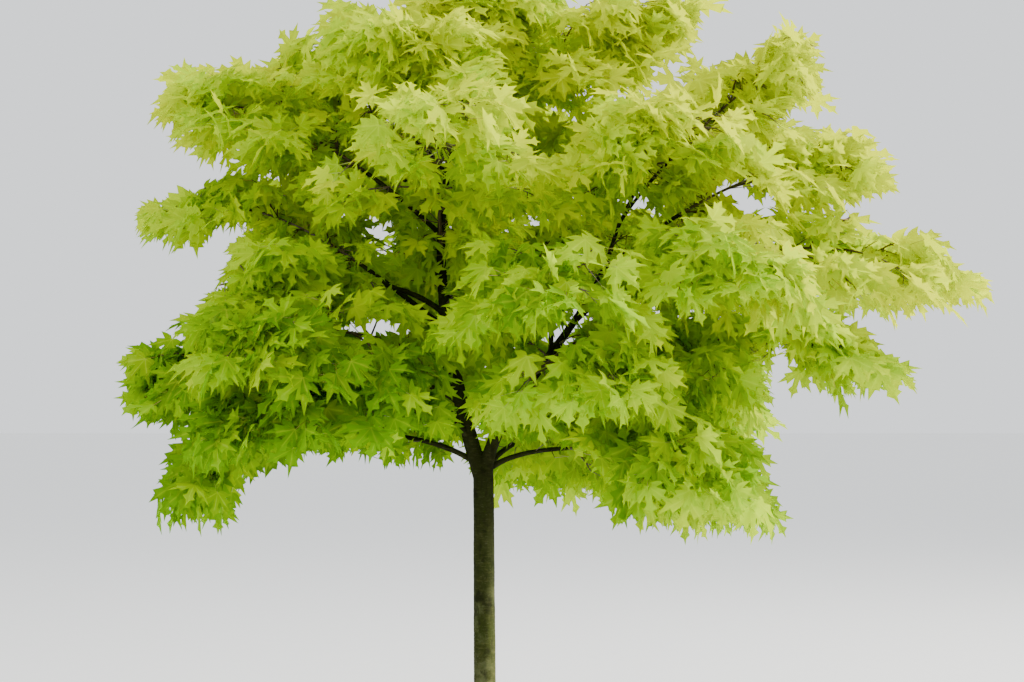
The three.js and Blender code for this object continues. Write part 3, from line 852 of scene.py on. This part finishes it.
def leaf_tint(at, depth, chance):
    """Which tint a leaf has: gold and lighter at the top, outside and right, greener and darker low, inside
    and left; the lightness is partly painted sunlight and shade.
    """
    # height and sunny paint sunlight: lighter tints at the top and on the right
    height = risen(at, *GOLD_RISE)
    sunny = max(0.0, (at.x - CROWN_LEFT) / CROWN_WIDTH)
    outside = min(1.0, from_middle(at))
    patch = sum(noise.noise(at * scale) * weight for scale, weight in TINT_PATCHES)
    # Painted shade: leaves deep in a mass get darker, greener tints; the base is taken off as well
    shade = max(0.0, TINT["inner_depth"] - depth) * TINT["inside"] - TINT["base"]
    score = TINT["height"] * height + TINT["sun"] * sunny * sunny + TINT["outside"] * outside * outside
    score = score + patch - shade + chance.gauss(0, TINT["wander"])
    return max(0, min(len(TINTS) - 1, int(score * len(TINTS))))


@lru_cache(maxsize=1)
def leaf_forms():
    """Leaf blades, each bent a little differently: points, faces, and how far each point lies on a rib."""
    chance = random.Random(FORMS["seed"])
    forms = []
    for _ in range(FORMS["count"]):
        bends = ("droop", "wings", "cup", "twist")
        droop, wings, cup, twist = (chance.uniform(*FORMS[bend]) for bend in bends)
        points, ribs, index = [], [], {}
        for hand in (1, -1):
            for name, (x, y, rib, lift) in LEAF_HALF.items():
                if hand < 0 and x == 0:
                    index[name, hand] = index[name, 1]
                    continue
                x *= (1 + chance.uniform(*FORMS["width"])) * hand
                y *= 1 + chance.uniform(*FORMS["length"])
                index[name, hand] = len(points)
                points.append((x, y, lift * cup - droop * y * abs(y) - wings * x * x + twist * x * y))
                ribs.append(rib)
        faces = []
        for hand in (1, -1):
            for corners in LEAF_FACES:
                row = [index[corner, hand] for corner in corners]
                p, q, r = (points[i] for i in row)
                turn = (q[0] - p[0]) * (r[1] - p[1]) - (q[1] - p[1]) * (r[0] - p[0])
                faces.append(row if turn > 0 else row[::-1])
        forms.append((np.array(points), np.array(faces), np.array(ribs)))
    return forms


def leaf_arrays(leaves):
    """All of some leaves as one mesh: points, faces, and each point's rib and tone."""
    points, faces, ribs, tones, count = [], [], [], [], 0
    forms = leaf_forms()
    for number, (blade, rows, rib) in enumerate(forms):
        mine = leaves[number :: len(forms)]
        if not mine:
            continue
        base, along, over, size, _, tone = (np.array(column) for column in zip(*mine))
        ways = (np.cross(along, over), along, over)
        bent = sum(blade[None, :, i : i + 1] * way[:, None] for i, way in enumerate(ways))
        points.append((base[:, None] + size[:, None, None] * bent).reshape(-1, 3))
        start = count + np.arange(len(mine))[:, None, None] * len(blade)
        faces.append((rows[None] + start).reshape(-1, 3))
        ribs.append(np.tile(rib, len(mine)))
        tones.append(np.repeat(tone, len(blade)))
        count += len(mine) * len(blade)
    return tuple(np.concatenate(rows) for rows in (points, faces, ribs, tones))


def ring_faces(start, rings, sides):
    """Quads between rings of points that follow one another from a first point, and both closed ends."""
    faces = []
    for row in range(start, start + (rings - 1) * sides, sides):
        for i in range(sides):
            after = (i + 1) % sides
            faces.append((row + i, row + after, row + sides + after, row + sides + i))
    last = start + (rings - 1) * sides
    faces.append(tuple(range(start + sides - 1, start - 1, -1)))
    faces.append(tuple(range(last, last + sides)))
    return faces


def tube_arrays(tubes, sides):
    """Tapering tubes through points as one mesh with closed ends, given as points and faces."""
    points, faces = [], []
    turns = [2 * math.pi * i / sides for i in range(sides)]
    for line, radii in tubes:
        faces += ring_faces(len(points), len(line), sides)
        across = None
        for i, (centre, radius) in enumerate(zip(line, radii)):
            along = (line[min(i + 1, len(line) - 1)] - line[max(i - 1, 0)]).normalized()
            across = square(across, along) if across else level_across(along)
            over = along.cross(across)
            points += [centre + (across * math.cos(t) + over * math.sin(t)) * radius for t in turns]
    return points, faces


def linked(name, mesh):
    """An object for a mesh, linked to the scene."""
    made = bpy.data.objects.new(name, mesh)
    bpy.context.scene.collection.objects.link(made)
    return made


def new_object(name, points, faces):
    """A mesh object from points and faces, alone selected and active."""
    mesh = bpy.data.meshes.new(name)
    mesh.from_pydata([tuple(p) for p in points], [], [tuple(f) for f in faces])
    mesh.validate()
    made = linked(name, mesh)
    bpy.ops.object.select_all(action="DESELECT")
    made.select_set(True)
    bpy.context.view_layer.objects.active = made
    return made


def leaf_object(name, leaves):
    """A mesh object of leaves, with the attributes that its material reads."""
    points, faces, ribs, tones = leaf_arrays(leaves)
    mesh = bpy.data.meshes.new(name)
    mesh.vertices.add(len(points))
    mesh.vertices.foreach_set("co", points.astype(np.float32).ravel())
    mesh.loops.add(faces.size)
    mesh.loops.foreach_set("vertex_index", faces.astype(np.int32).ravel())
    mesh.polygons.add(len(faces))
    mesh.polygons.foreach_set("loop_start", np.arange(0, faces.size, 3, dtype=np.int32))
    mesh.update(calc_edges=True)
    for title, values in (("rib", ribs), ("tone", tones)):
        mesh.attributes.new(title, "FLOAT", "POINT").data.foreach_set("value", values.astype(np.float32))
    return linked(name, mesh)


def apply_modifier(made, kind, **settings):
    """A modifier added to the active object, set and applied."""
    bpy.ops.object.modifier_add(type=kind)
    modifier = made.modifiers[-1]
    for name, value in settings.items():
        setattr(modifier, name, value)
    bpy.ops.object.modifier_apply(modifier=modifier.name)


def hand_over(made, material, nodes):
    """The piece gets its material, rides on the tree's body and hides the solids of the frame that it takes
    the place of.
    """
    made.data.materials.clear()
    made.data.materials.append(material)
    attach(made, BODY)
    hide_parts(*nodes)


def foliage_nodes():
    """Names of the frame's foliage solids."""
    return [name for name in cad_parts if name.startswith("foliage_")]


# Materials


def feed(place, value):
    """A node's input gets a link or a value; a colour is made opaque."""
    if isinstance(value, Socket):
        value.tree.links.new(value.link, place)
    elif place.type == "RGBA":
        place.default_value = (*value, 1)
    else:
        place.default_value = value


class Socket:
    """A node's output that can be added, multiplied and so on."""

    def __init__(self, tree, link):
        self.tree, self.link = tree, link

    def math(self, operation, other, swap=False):
        """A Math node on this value and another, the other way round if swapped."""
        node = self.tree.nodes.new("ShaderNodeMath")
        node.operation = operation
        for place, value in zip(node.inputs, (other, self) if swap else (self, other)):
            feed(place, value)
        return Socket(self.tree, node.outputs[0])

    def __add__(self, other):
        return self.math("ADD", other)

    def __radd__(self, other):
        return self.math("ADD", other, True)

    def __sub__(self, other):
        return self.math("SUBTRACT", other)

    def __rsub__(self, other):
        return self.math("SUBTRACT", other, True)

    def __mul__(self, other):
        return self.math("MULTIPLY", other)

    def __rmul__(self, other):
        return self.math("MULTIPLY", other, True)

    def __pow__(self, other):
        return self.math("POWER", other)

    def __rpow__(self, other):
        return self.math("POWER", other, True)

    def clamped(self):
        """The value kept from 0 to 1."""
        made = self.math("ADD", 0.0)
        made.link.node.use_clamp = True
        return made


class Shader:
    """A material under construction."""

    def __init__(self, name):
        self.material = bpy.data.materials.new(name)
        self.material.use_nodes = True
        self.tree = self.material.node_tree
        self.tree.nodes.clear()

    def add(self, kind, output=0, settings=None, **inputs):
        """A node of any kind, with its settings and inputs; gives one of its outputs, where it has any."""
        node = self.tree.nodes.new(kind)
        for name, value in (settings or {}).items():
            setattr(node, name, value)
        places = {place.identifier.replace(" ", "_"): place for place in node.inputs}
        for name, value in inputs.items():
            feed(places[name], value)
        return Socket(self.tree, node.outputs[output]) if node.outputs else None

    def noise(self, where, scale, detail, roughness=0.5):
        """Noise in a space."""
        return self.add("ShaderNodeTexNoise", Vector=where, Scale=scale, Detail=detail, Roughness=roughness)

    def colours(self, share, one, other):
        """A colour between two, by a share."""
        inputs = {"Factor_Float": share, "A_Color": one, "B_Color": other}
        return self.add("ShaderNodeMix", 2, {"data_type": "RGBA"}, **inputs)

    def marks(self, skin, pattern, colour, level, sharpness, *shares):
        """A skin with marks where a pattern passes a level, or is below it if sharpness is negative."""
        mask = ((pattern - level) * sharpness).clamped()
        for share in shares:
            mask = mask * share
        return self.colours(mask, skin, colour)

    def blended(self, share, one, other):
        """A shader between two, by a share that is the same all over."""
        return self.add("ShaderNodeMixShader", Fac=share, Shader=one, Shader_001=other)

    def finish(self, shader):
        """The material, with a shader as its surface."""
        self.add("ShaderNodeOutputMaterial", Surface=shader)
        return self.material


def leaf_material(name, colour):
    """A leaf: one plain tint, paler along its ribs, partly their own colour and partly a painted highlight,
    with a soft sheen, and letting some light through.
    """
    habit = bpy.context.scene.maple_leaves
    shader = Shader(name)
    rib = shader.add("ShaderNodeAttribute", "Fac", {"attribute_name": "rib"})
    tone = shader.add("ShaderNodeAttribute", "Fac", {"attribute_name": "tone"})
    # pale: the veins' own paler colour with a painted highlight along them
    pale = tuple(mix(c, p, LEAF_LOOK["rib_pale_and_highlight"]) for c, p in zip(colour, habit.rib_and_highlight_colour))
    deep = tuple(c * LEAF_LOOK["deep"] for c in colour)
    through = tuple(min(1.0, c * LEAF_LOOK["through"]) for c in colour)
    blade = shader.colours(tone, deep, colour)
    # ribs: where the pale veins and the painted highlight along them lie
    ribs = (rib ** LEAF_LOOK["rib_edge"] * LEAF_LOOK["rib_strength"]).clamped()
    skin = shader.colours(ribs, blade, pale)
    face = shader.add("ShaderNodeBsdfPrincipled", Base_Color=skin, Roughness=0.55, Specular_IOR_Level=0.02)
    glow = shader.add("ShaderNodeBsdfTranslucent", Color=through)
    return shader.finish(shader.blended(habit.translucency, face, glow))


def stalk_material():
    """Leaf stalks: smooth and green, flushed with red in patches."""
    shader = Shader("leaf_stalk")
    patch = shader.noise(shader.add("ShaderNodeTexCoord", "Object"), scale=4.0, detail=2.0)
    skin = shader.marks(STALK_GREEN, patch, STALK_RED, level=0.45, sharpness=4)
    return shader.finish(shader.add("ShaderNodeBsdfPrincipled", Base_Color=skin, Roughness=0.45))


def twig_material():
    """Twigs: dark red brown, smooth, with paler dots."""
    shader = Shader("twig_bark")
    where = shader.add("ShaderNodeTexCoord", "Object")
    dots = shader.noise(where, scale=420.0, detail=1.0)
    skin = shader.colours(shader.noise(where, scale=14.0, detail=3.0), TWIG_DARK, TWIG_LIGHT)
    skin = shader.marks(skin, dots, TWIG_DOTS, level=0.62, sharpness=6)
    bump = shader.add("ShaderNodeBump", Height=dots, Strength=0.3, Distance=0.0006)
    return shader.finish(shader.add("ShaderNodeBsdfPrincipled", Base_Color=skin, Roughness=0.6, Normal=bump))


def bark_material():
    """Young bark: olive brown, paler in patches low down and darker higher up, a painted shade under the
    crown, with dark stains, faint bands and small flecks.
    """
    habit = bpy.context.scene.maple_bark
    shader = Shader("maple_bark")
    where = shader.add("ShaderNodeTexCoord", "Object")
    spaces = {"even": where}
    for name, stretch in BARK_SPACES.items():
        spaces[name] = shader.add("ShaderNodeMapping", Vector=where, Scale=stretch)
    patterns = {name: shader.noise(spaces[space], *row) for name, (space, *row) in BARK_PATTERNS.items()}
    low, pace = BARK_RISE
    # rise: how far up the trunk the painted shade under the crown has come, 0 to 1
    rise = ((shader.add("ShaderNodeSeparateXYZ", "Z", Vector=where) - low) * pace).clamped()

    def marked(skin, name, *shares):
        """The skin with one kind of mark on it, weaker by some shares."""
        level, sharpness, strength, colour = BARK_MARKS[name]
        return shader.marks(skin, patterns[name], colour, level, sharpness, *shares, strength)

    skin = shader.colours(patterns["broad"], habit.dark[:3], habit.light[:3])
    skin = shader.marks(skin, patterns["green"], habit.green[:3], *BARK_GREEN)
    # Pale patches, weaker higher up where the painted shade lies
    skin = marked(skin, "worn", 1.0 - rise)
    for name in ("bands", "flecks", "stains"):
        skin = marked(skin, name)
    # Painted shade under the crown: darker from BARK_RISE up, towards a deeper dark
    skin = shader.colours(rise * BARK_SHADE, skin, tuple(c * BARK_DEEP for c in habit.dark))
    for name in ("seams", "grain"):
        skin = marked(skin, name)
    heights = [patterns[name] * share for name, share in BARK_HEIGHTS.items()]
    height = sum(heights[1:], heights[0])
    bump = shader.add("ShaderNodeBump", Height=height, Strength=0.7, Distance=0.004)
    smoothest, rougher = BARK_ROUGH
    rough = smoothest + patterns["flecks"] * rougher
    sheen = {"Base_Color": skin, "Roughness": rough, "Normal": bump, "Specular_IOR_Level": 0.06}
    return shader.finish(shader.add("ShaderNodeBsdfPrincipled", **sheen))


def floor_material():
    """The floor: pale and dull, with a faint unevenness."""
    colour = bpy.context.scene.maple_stage.floor
    shader = Shader("floor")
    patch = shader.noise(shader.add("ShaderNodeTexCoord", "Object"), scale=6.0, detail=3.0)
    skin = shader.colours(patch, tuple(c * FLOOR_DARKER for c in colour), tuple(colour))
    return shader.finish(shader.add("ShaderNodeBsdfPrincipled", Base_Color=skin, Roughness=0.9))


# Settings


# What a setting has when it is a share of something
SHARE = {"subtype": "FACTOR", "min": 0, "max": 1}


class MapleBark(PropertyGroup):
    """Bark of the trunk, leaders and boughs."""

    voxel: FloatProperty(
        name="Voxel", description="Size of the cells that join the limbs", default=0.0042, unit="LENGTH"
    )
    relief: FloatProperty(
        name="Relief", description="Height of the bark's relief", default=0.0016, unit="LENGTH"
    )
    dark: FloatVectorProperty(
        name="Dark", description="Darker bark", default=(0.011, 0.0135, 0.002), subtype="COLOR"
    )
    light: FloatVectorProperty(
        name="Light", description="Lighter bark", default=(0.043, 0.045, 0.01), subtype="COLOR"
    )
    green: FloatVectorProperty(
        name="Green", description="Green cast", default=(0.022, 0.034, 0.002), subtype="COLOR"
    )


class MapleTwigs(PropertyGroup):
    """Side twigs and shoots."""

    spacing: FloatProperty(
        name="Spacing", description="Between pairs of shoots", default=0.062, unit="LENGTH"
    )
    shoot: FloatProperty(name="Shoot", description="Length of a shoot", default=0.078, unit="LENGTH")
    sag: FloatProperty(
        name="Sag",
        description="How far a side twig's end sinks, as a share of its length",
        default=0.16,
        **SHARE,
    )
    beyond: FloatProperty(
        name="Beyond", description="How far a twig runs past its solid", default=0.035, unit="LENGTH"
    )
    tip_room: FloatProperty(
        name="Tip room", description="Room for the last leaves of a limb", default=0.26, unit="LENGTH"
    )


class MapleLeaves(PropertyGroup):
    """Leaves and their stalks."""

    length: FloatProperty(
        name="Length", description="Length of a full inner blade", default=0.112, unit="LENGTH"
    )
    length_rim: FloatProperty(
        name="Rim length", description="The same at the outside", default=0.142, unit="LENGTH"
    )
    stalk: FloatProperty(name="Stalk", description="Stalk as a share of the blade", default=0.5, **SHARE)
    share: FloatProperty(
        name="Share", description="Share of the inner buds that carry a leaf", default=0.92, **SHARE
    )
    share_rim: FloatProperty(name="Rim share", description="The same at the outside", default=0.68, **SHARE)
    hang: FloatProperty(
        name="Hang",
        description="How far a shoot's end sinks, as a share of its length",
        default=0.35,
        **SHARE,
    )
    droop: FloatProperty(
        name="Droop", description="How far a low blade hangs", default=math.radians(50), subtype="ANGLE"
    )
    droop_top: FloatProperty(
        name="Top droop", description="The same at the top", default=math.radians(10), subtype="ANGLE"
    )
    droop_wander: FloatProperty(
        name="Droop wander", description="Spread of both", default=math.radians(20), subtype="ANGLE"
    )
    outward: FloatProperty(
        name="Outward", description="How far blades turn away from the trunk", default=0.55
    )
    face: FloatProperty(name="Face", description="How far blades face away from the trunk", default=0.45)
    roll: FloatProperty(name="Roll", description="How far blades turn about their own length", default=1.0)
    translucency: FloatProperty(
        name="Translucency", description="Share of light let through", default=0.52, **SHARE
    )
    # The ribs' colour: partly the veins' own paler colour, partly a painted highlight along them
    rib_and_highlight_colour: FloatVectorProperty(
        name="Ribs", description="Colour of the ribs", default=(0.82, 0.9, 0.05), subtype="COLOR"
    )


class MapleStage(PropertyGroup):
    """Floor, light and camera."""

    floor: FloatVectorProperty(
        name="Floor", description="Floor colour", default=(0.93, 0.93, 0.92), subtype="COLOR"
    )
    sky: FloatProperty(name="Sky", description="Strength of the light all round", default=1.34)
    key: FloatProperty(name="Key", description="Power of the key light", default=3000, unit="POWER")
    fill: FloatProperty(name="Fill", description="Power of the fill light", default=235, unit="POWER")
    low: FloatProperty(name="Low", description="Power of the light on the trunk", default=26, unit="POWER")


# Operators


def trunk_radius(height, turn):
    """The trunk's radius at a height and a turn round it, as in the source of the solids."""
    taper = mix(TRUNK["foot_radius"], TRUNK["fork_radius"], height / TRUNK["fork"])
    flare = TRUNK["flare_radius"] * math.exp(-height / TRUNK["flare_height"])
    ridge = 1 + TRUNK["ridge_share"] * math.cos(TRUNK["root_ridges"] * turn)
    tuck = max(0.0, 1 - (TRUNK["fork"] - height) / TRUNK["top_height"])
    return mix(taper + flare * ridge, TRUNK["top_radius"], tuck * tuck)


def trunk_arrays():
    """The trunk as rings of points and their faces; the lowest rings lie below its cut."""
    heights = [SKIN["flare_step"] * i - SKIN["sunk"] for i in range(SKIN["flare_rings"])]
    upper = math.ceil((TRUNK["fork"] - SKIN["upper_start"]) / SKIN["upper_step"])
    heights += [SKIN["upper_start"] + SKIN["upper_step"] * i for i in range(1, upper)]
    heights.append(TRUNK["fork"])
    points = []
    for height in heights:
        lean = TRUNK["lean"] * height / TRUNK["fork"]
        for i in range(SKIN["trunk_sides"]):
            turn = 2 * math.pi * i / SKIN["trunk_sides"]
            radius = trunk_radius(max(0.0, height), turn)
            points.append((lean + radius * math.cos(turn), radius * math.sin(turn), height))
    return points, ring_faces(0, len(heights), SKIN["trunk_sides"])


def leader_arrays(name):
    """A leader as a tapering tube."""
    line, root, tip = stems()[name]
    shares = [i / SKIN["leader_steps"] for i in range(SKIN["leader_steps"] + 1)]
    tube = ([line.at(t) for t in shares], [mix(root, tip, t) for t in shares])
    return tube_arrays([tube], SKIN["leader_sides"])


def stretched(point, across, up):
    """A point in a space that has one scale across the trunk and another up it."""
    return Vector((point.x * across, point.y * across, point.z * up))


def relief_at(point):
    """Height of the bark's relief at a point, about -1 to 1: rings that run across, low swellings, pits."""
    *scale, rings = RELIEF_RINGS
    height = noise.noise(stretched(point, *scale)) * rings
    *scale, swell = RELIEF_SWELL
    height += noise.noise(stretched(point, *scale) + RELIEF_SHIFT) * swell
    fine, pits = RELIEF_PITS
    return height + noise.noise(point * fine) * pits


def raise_relief(mesh, depth):
    """Moves a mesh's points along their normals by the bark's relief."""
    moved = [v.co + v.normal * relief_at(v.co) * depth for v in mesh.vertices]
    mesh.vertices.foreach_set("co", [c for point in moved for c in point])
    mesh.update()


class MAPLE_OT_trunk(Operator):
    """Trunk and leaders, joined into one skin with the bark's relief"""

    bl_idname = "maple.trunk"
    bl_label = "Trunk and leaders"

    def execute(self, context):
        habit = context.scene.maple_bark
        made = new_object("trunk_bark", *trunk_arrays())
        parts = [made] + [new_object(name + "_part", *leader_arrays(name)) for name in LEADERS]
        for part in parts:
            part.select_set(True)
        context.view_layer.objects.active = made
        bpy.ops.object.join()
        apply_modifier(made, "REMESH", mode="VOXEL", voxel_size=habit.voxel)
        apply_modifier(made, "SMOOTH", factor=SKIN["smoothing"], iterations=SKIN["smoothings"])
        raise_relief(made.data, habit.relief)
        bpy.ops.object.mode_set(mode="EDIT")
        bpy.ops.mesh.select_all(action="SELECT")
        bpy.ops.mesh.bisect(plane_co=(0, 0, 0), plane_no=(0, 0, 1), use_fill=True, clear_inner=True)
        bpy.ops.object.mode_set(mode="OBJECT")
        bpy.ops.object.shade_smooth()
        hand_over(made, bark_material(), stems())
        return {"FINISHED"}


class MAPLE_OT_boughs(Operator):
    """Boughs from the stems to the masses of leaves"""

    bl_idname = "maple.boughs"
    bl_label = "Boughs"

    def execute(self, context):
        shares = [i / SKIN["bough_steps"] for i in range(SKIN["bough_steps"] + 1)]
        clad = [limb for limb in limbs() if not limb.bare]
        tubes = []
        for limb in clad:
            line = [limb.curve.at(limb.start * share) for share in shares]
            tubes.append((line, [limb.bough_radius(share) for share in shares]))
        made = new_object("bough_bark", *tube_arrays(tubes, SKIN["bough_sides"]))
        raise_relief(made.data, context.scene.maple_bark.relief * SKIN["bough_relief"])
        bpy.ops.object.shade_smooth()
        hand_over(made, bpy.data.materials["maple_bark"], ["bough_" + limb.name for limb in clad])
        return {"FINISHED"}


class MAPLE_OT_twigs(Operator):
    """Stems of the masses, side twigs and shoots"""

    bl_idname = "maple.twigs"
    bl_label = "Twigs"

    def execute(self, context):
        shoot = SHOOT["radii"][0]
        thick = [(line, radii) for line, radii in crown().twigs if radii[0] > shoot]
        thin = [(line, radii) for line, radii in crown().twigs if radii[0] <= shoot]
        points, faces = tube_arrays(thick, SKIN["twig_sides"])
        more, rows = tube_arrays(thin, SKIN["shoot_sides"])
        faces += [tuple(i + len(points) for i in row) for row in rows]
        made = new_object("twigs", points + more, faces)
        bpy.ops.object.shade_smooth()
        hand_over(made, twig_material(), foliage_nodes())
        return {"FINISHED"}


class MAPLE_OT_stalks(Operator):
    """Leaf stalks"""

    bl_idname = "maple.stalks"
    bl_label = "Leaf stalks"

    def execute(self, context):
        made = new_object("leaf_stalks", *tube_arrays(crown().stalks, SKIN["shoot_sides"]))
        bpy.ops.object.shade_smooth()
        hand_over(made, stalk_material(), foliage_nodes())
        return {"FINISHED"}


class MAPLE_OT_leaves(Operator):
    """Leaves, one piece for each tint"""

    bl_idname = "maple.leaves"
    bl_label = "Leaves"

    def execute(self, context):
        for number, (name, colour) in enumerate(TINTS):
            leaves = [leaf for leaf in crown().leaves if leaf[4] == number]
            if not leaves:
                raise RuntimeError("no leaves have the tint " + name)
            hand_over(leaf_object(name, leaves), leaf_material(name, colour), foliage_nodes())
        return {"FINISHED"}


def area_light(name, power, at, size, colour, aim, spread):
    """A square area light at a place, aimed at another."""
    bpy.ops.object.light_add(type="AREA", location=at)
    made = bpy.context.active_object
    made.name = name
    made.data.size = size
    made.data.energy = power
    made.data.color = colour
    made.data.spread = math.radians(spread)
    made.rotation_mode = "QUATERNION"
    made.rotation_quaternion = (Vector(aim) - Vector(at)).to_track_quat("-Z", "Y")


class MAPLE_OT_stage(Operator):
    """Floor, soft light, and the camera at the photo's angle"""

    bl_idname = "maple.stage"
    bl_label = "Stage"

    def execute(self, context):
        habit = context.scene.maple_stage
        bpy.ops.mesh.primitive_plane_add(size=FLOOR_SIZE, location=(0, 0, 0))
        floor = context.active_object
        floor.name = "floor"
        floor.data.materials.append(floor_material())
        world = bpy.data.worlds.new("studio")
        world.use_nodes = True
        background = world.node_tree.nodes["Background"]
        background.inputs["Color"].default_value = (*SKY_COLOUR, 1)
        background.inputs["Strength"].default_value = habit.sky
        context.scene.world = world
        for name, row in LIGHTS.items():
            area_light(name, getattr(habit, name), *row)
        bpy.ops.object.camera_add(location=EYE, rotation=(math.radians(EYE_TURN), 0, 0))
        camera = context.active_object
        camera.data.lens = EYE_LENS
        camera.data.sensor_width = EYE_SENSOR
        context.scene.camera = camera
        return {"FINISHED"}


class MAPLE_PT_panel(Panel):
    """Everything that can be grown"""

    bl_label = "Golden maple"
    bl_space_type = "VIEW_3D"
    bl_region_type = "UI"
    bl_category = "Maple"

    def draw(self, context):
        for operator in OPERATORS:
            self.layout.operator(operator.bl_idname)


GROUPS = {
    "maple_bark": MapleBark,
    "maple_twigs": MapleTwigs,
    "maple_leaves": MapleLeaves,
    "maple_stage": MapleStage,
}
OPERATORS = (
    MAPLE_OT_trunk,
    MAPLE_OT_boughs,
    MAPLE_OT_twigs,
    MAPLE_OT_stalks,
    MAPLE_OT_leaves,
    MAPLE_OT_stage,
)
CLASSES = (*GROUPS.values(), *OPERATORS, MAPLE_PT_panel)


def register():
    for entry in CLASSES:
        bpy.utils.register_class(entry)
    for name, group in GROUPS.items():
        setattr(bpy.types.Scene, name, PointerProperty(type=group))


def unregister():
    for name in GROUPS:
        delattr(bpy.types.Scene, name)
    for entry in reversed(CLASSES):
        bpy.utils.unregister_class(entry)


def main():
    register()
    for operator in OPERATORS:
        group, name = operator.bl_idname.split(".")
        getattr(getattr(bpy.ops, group), name)()


if __name__ == "__main__":
    main()
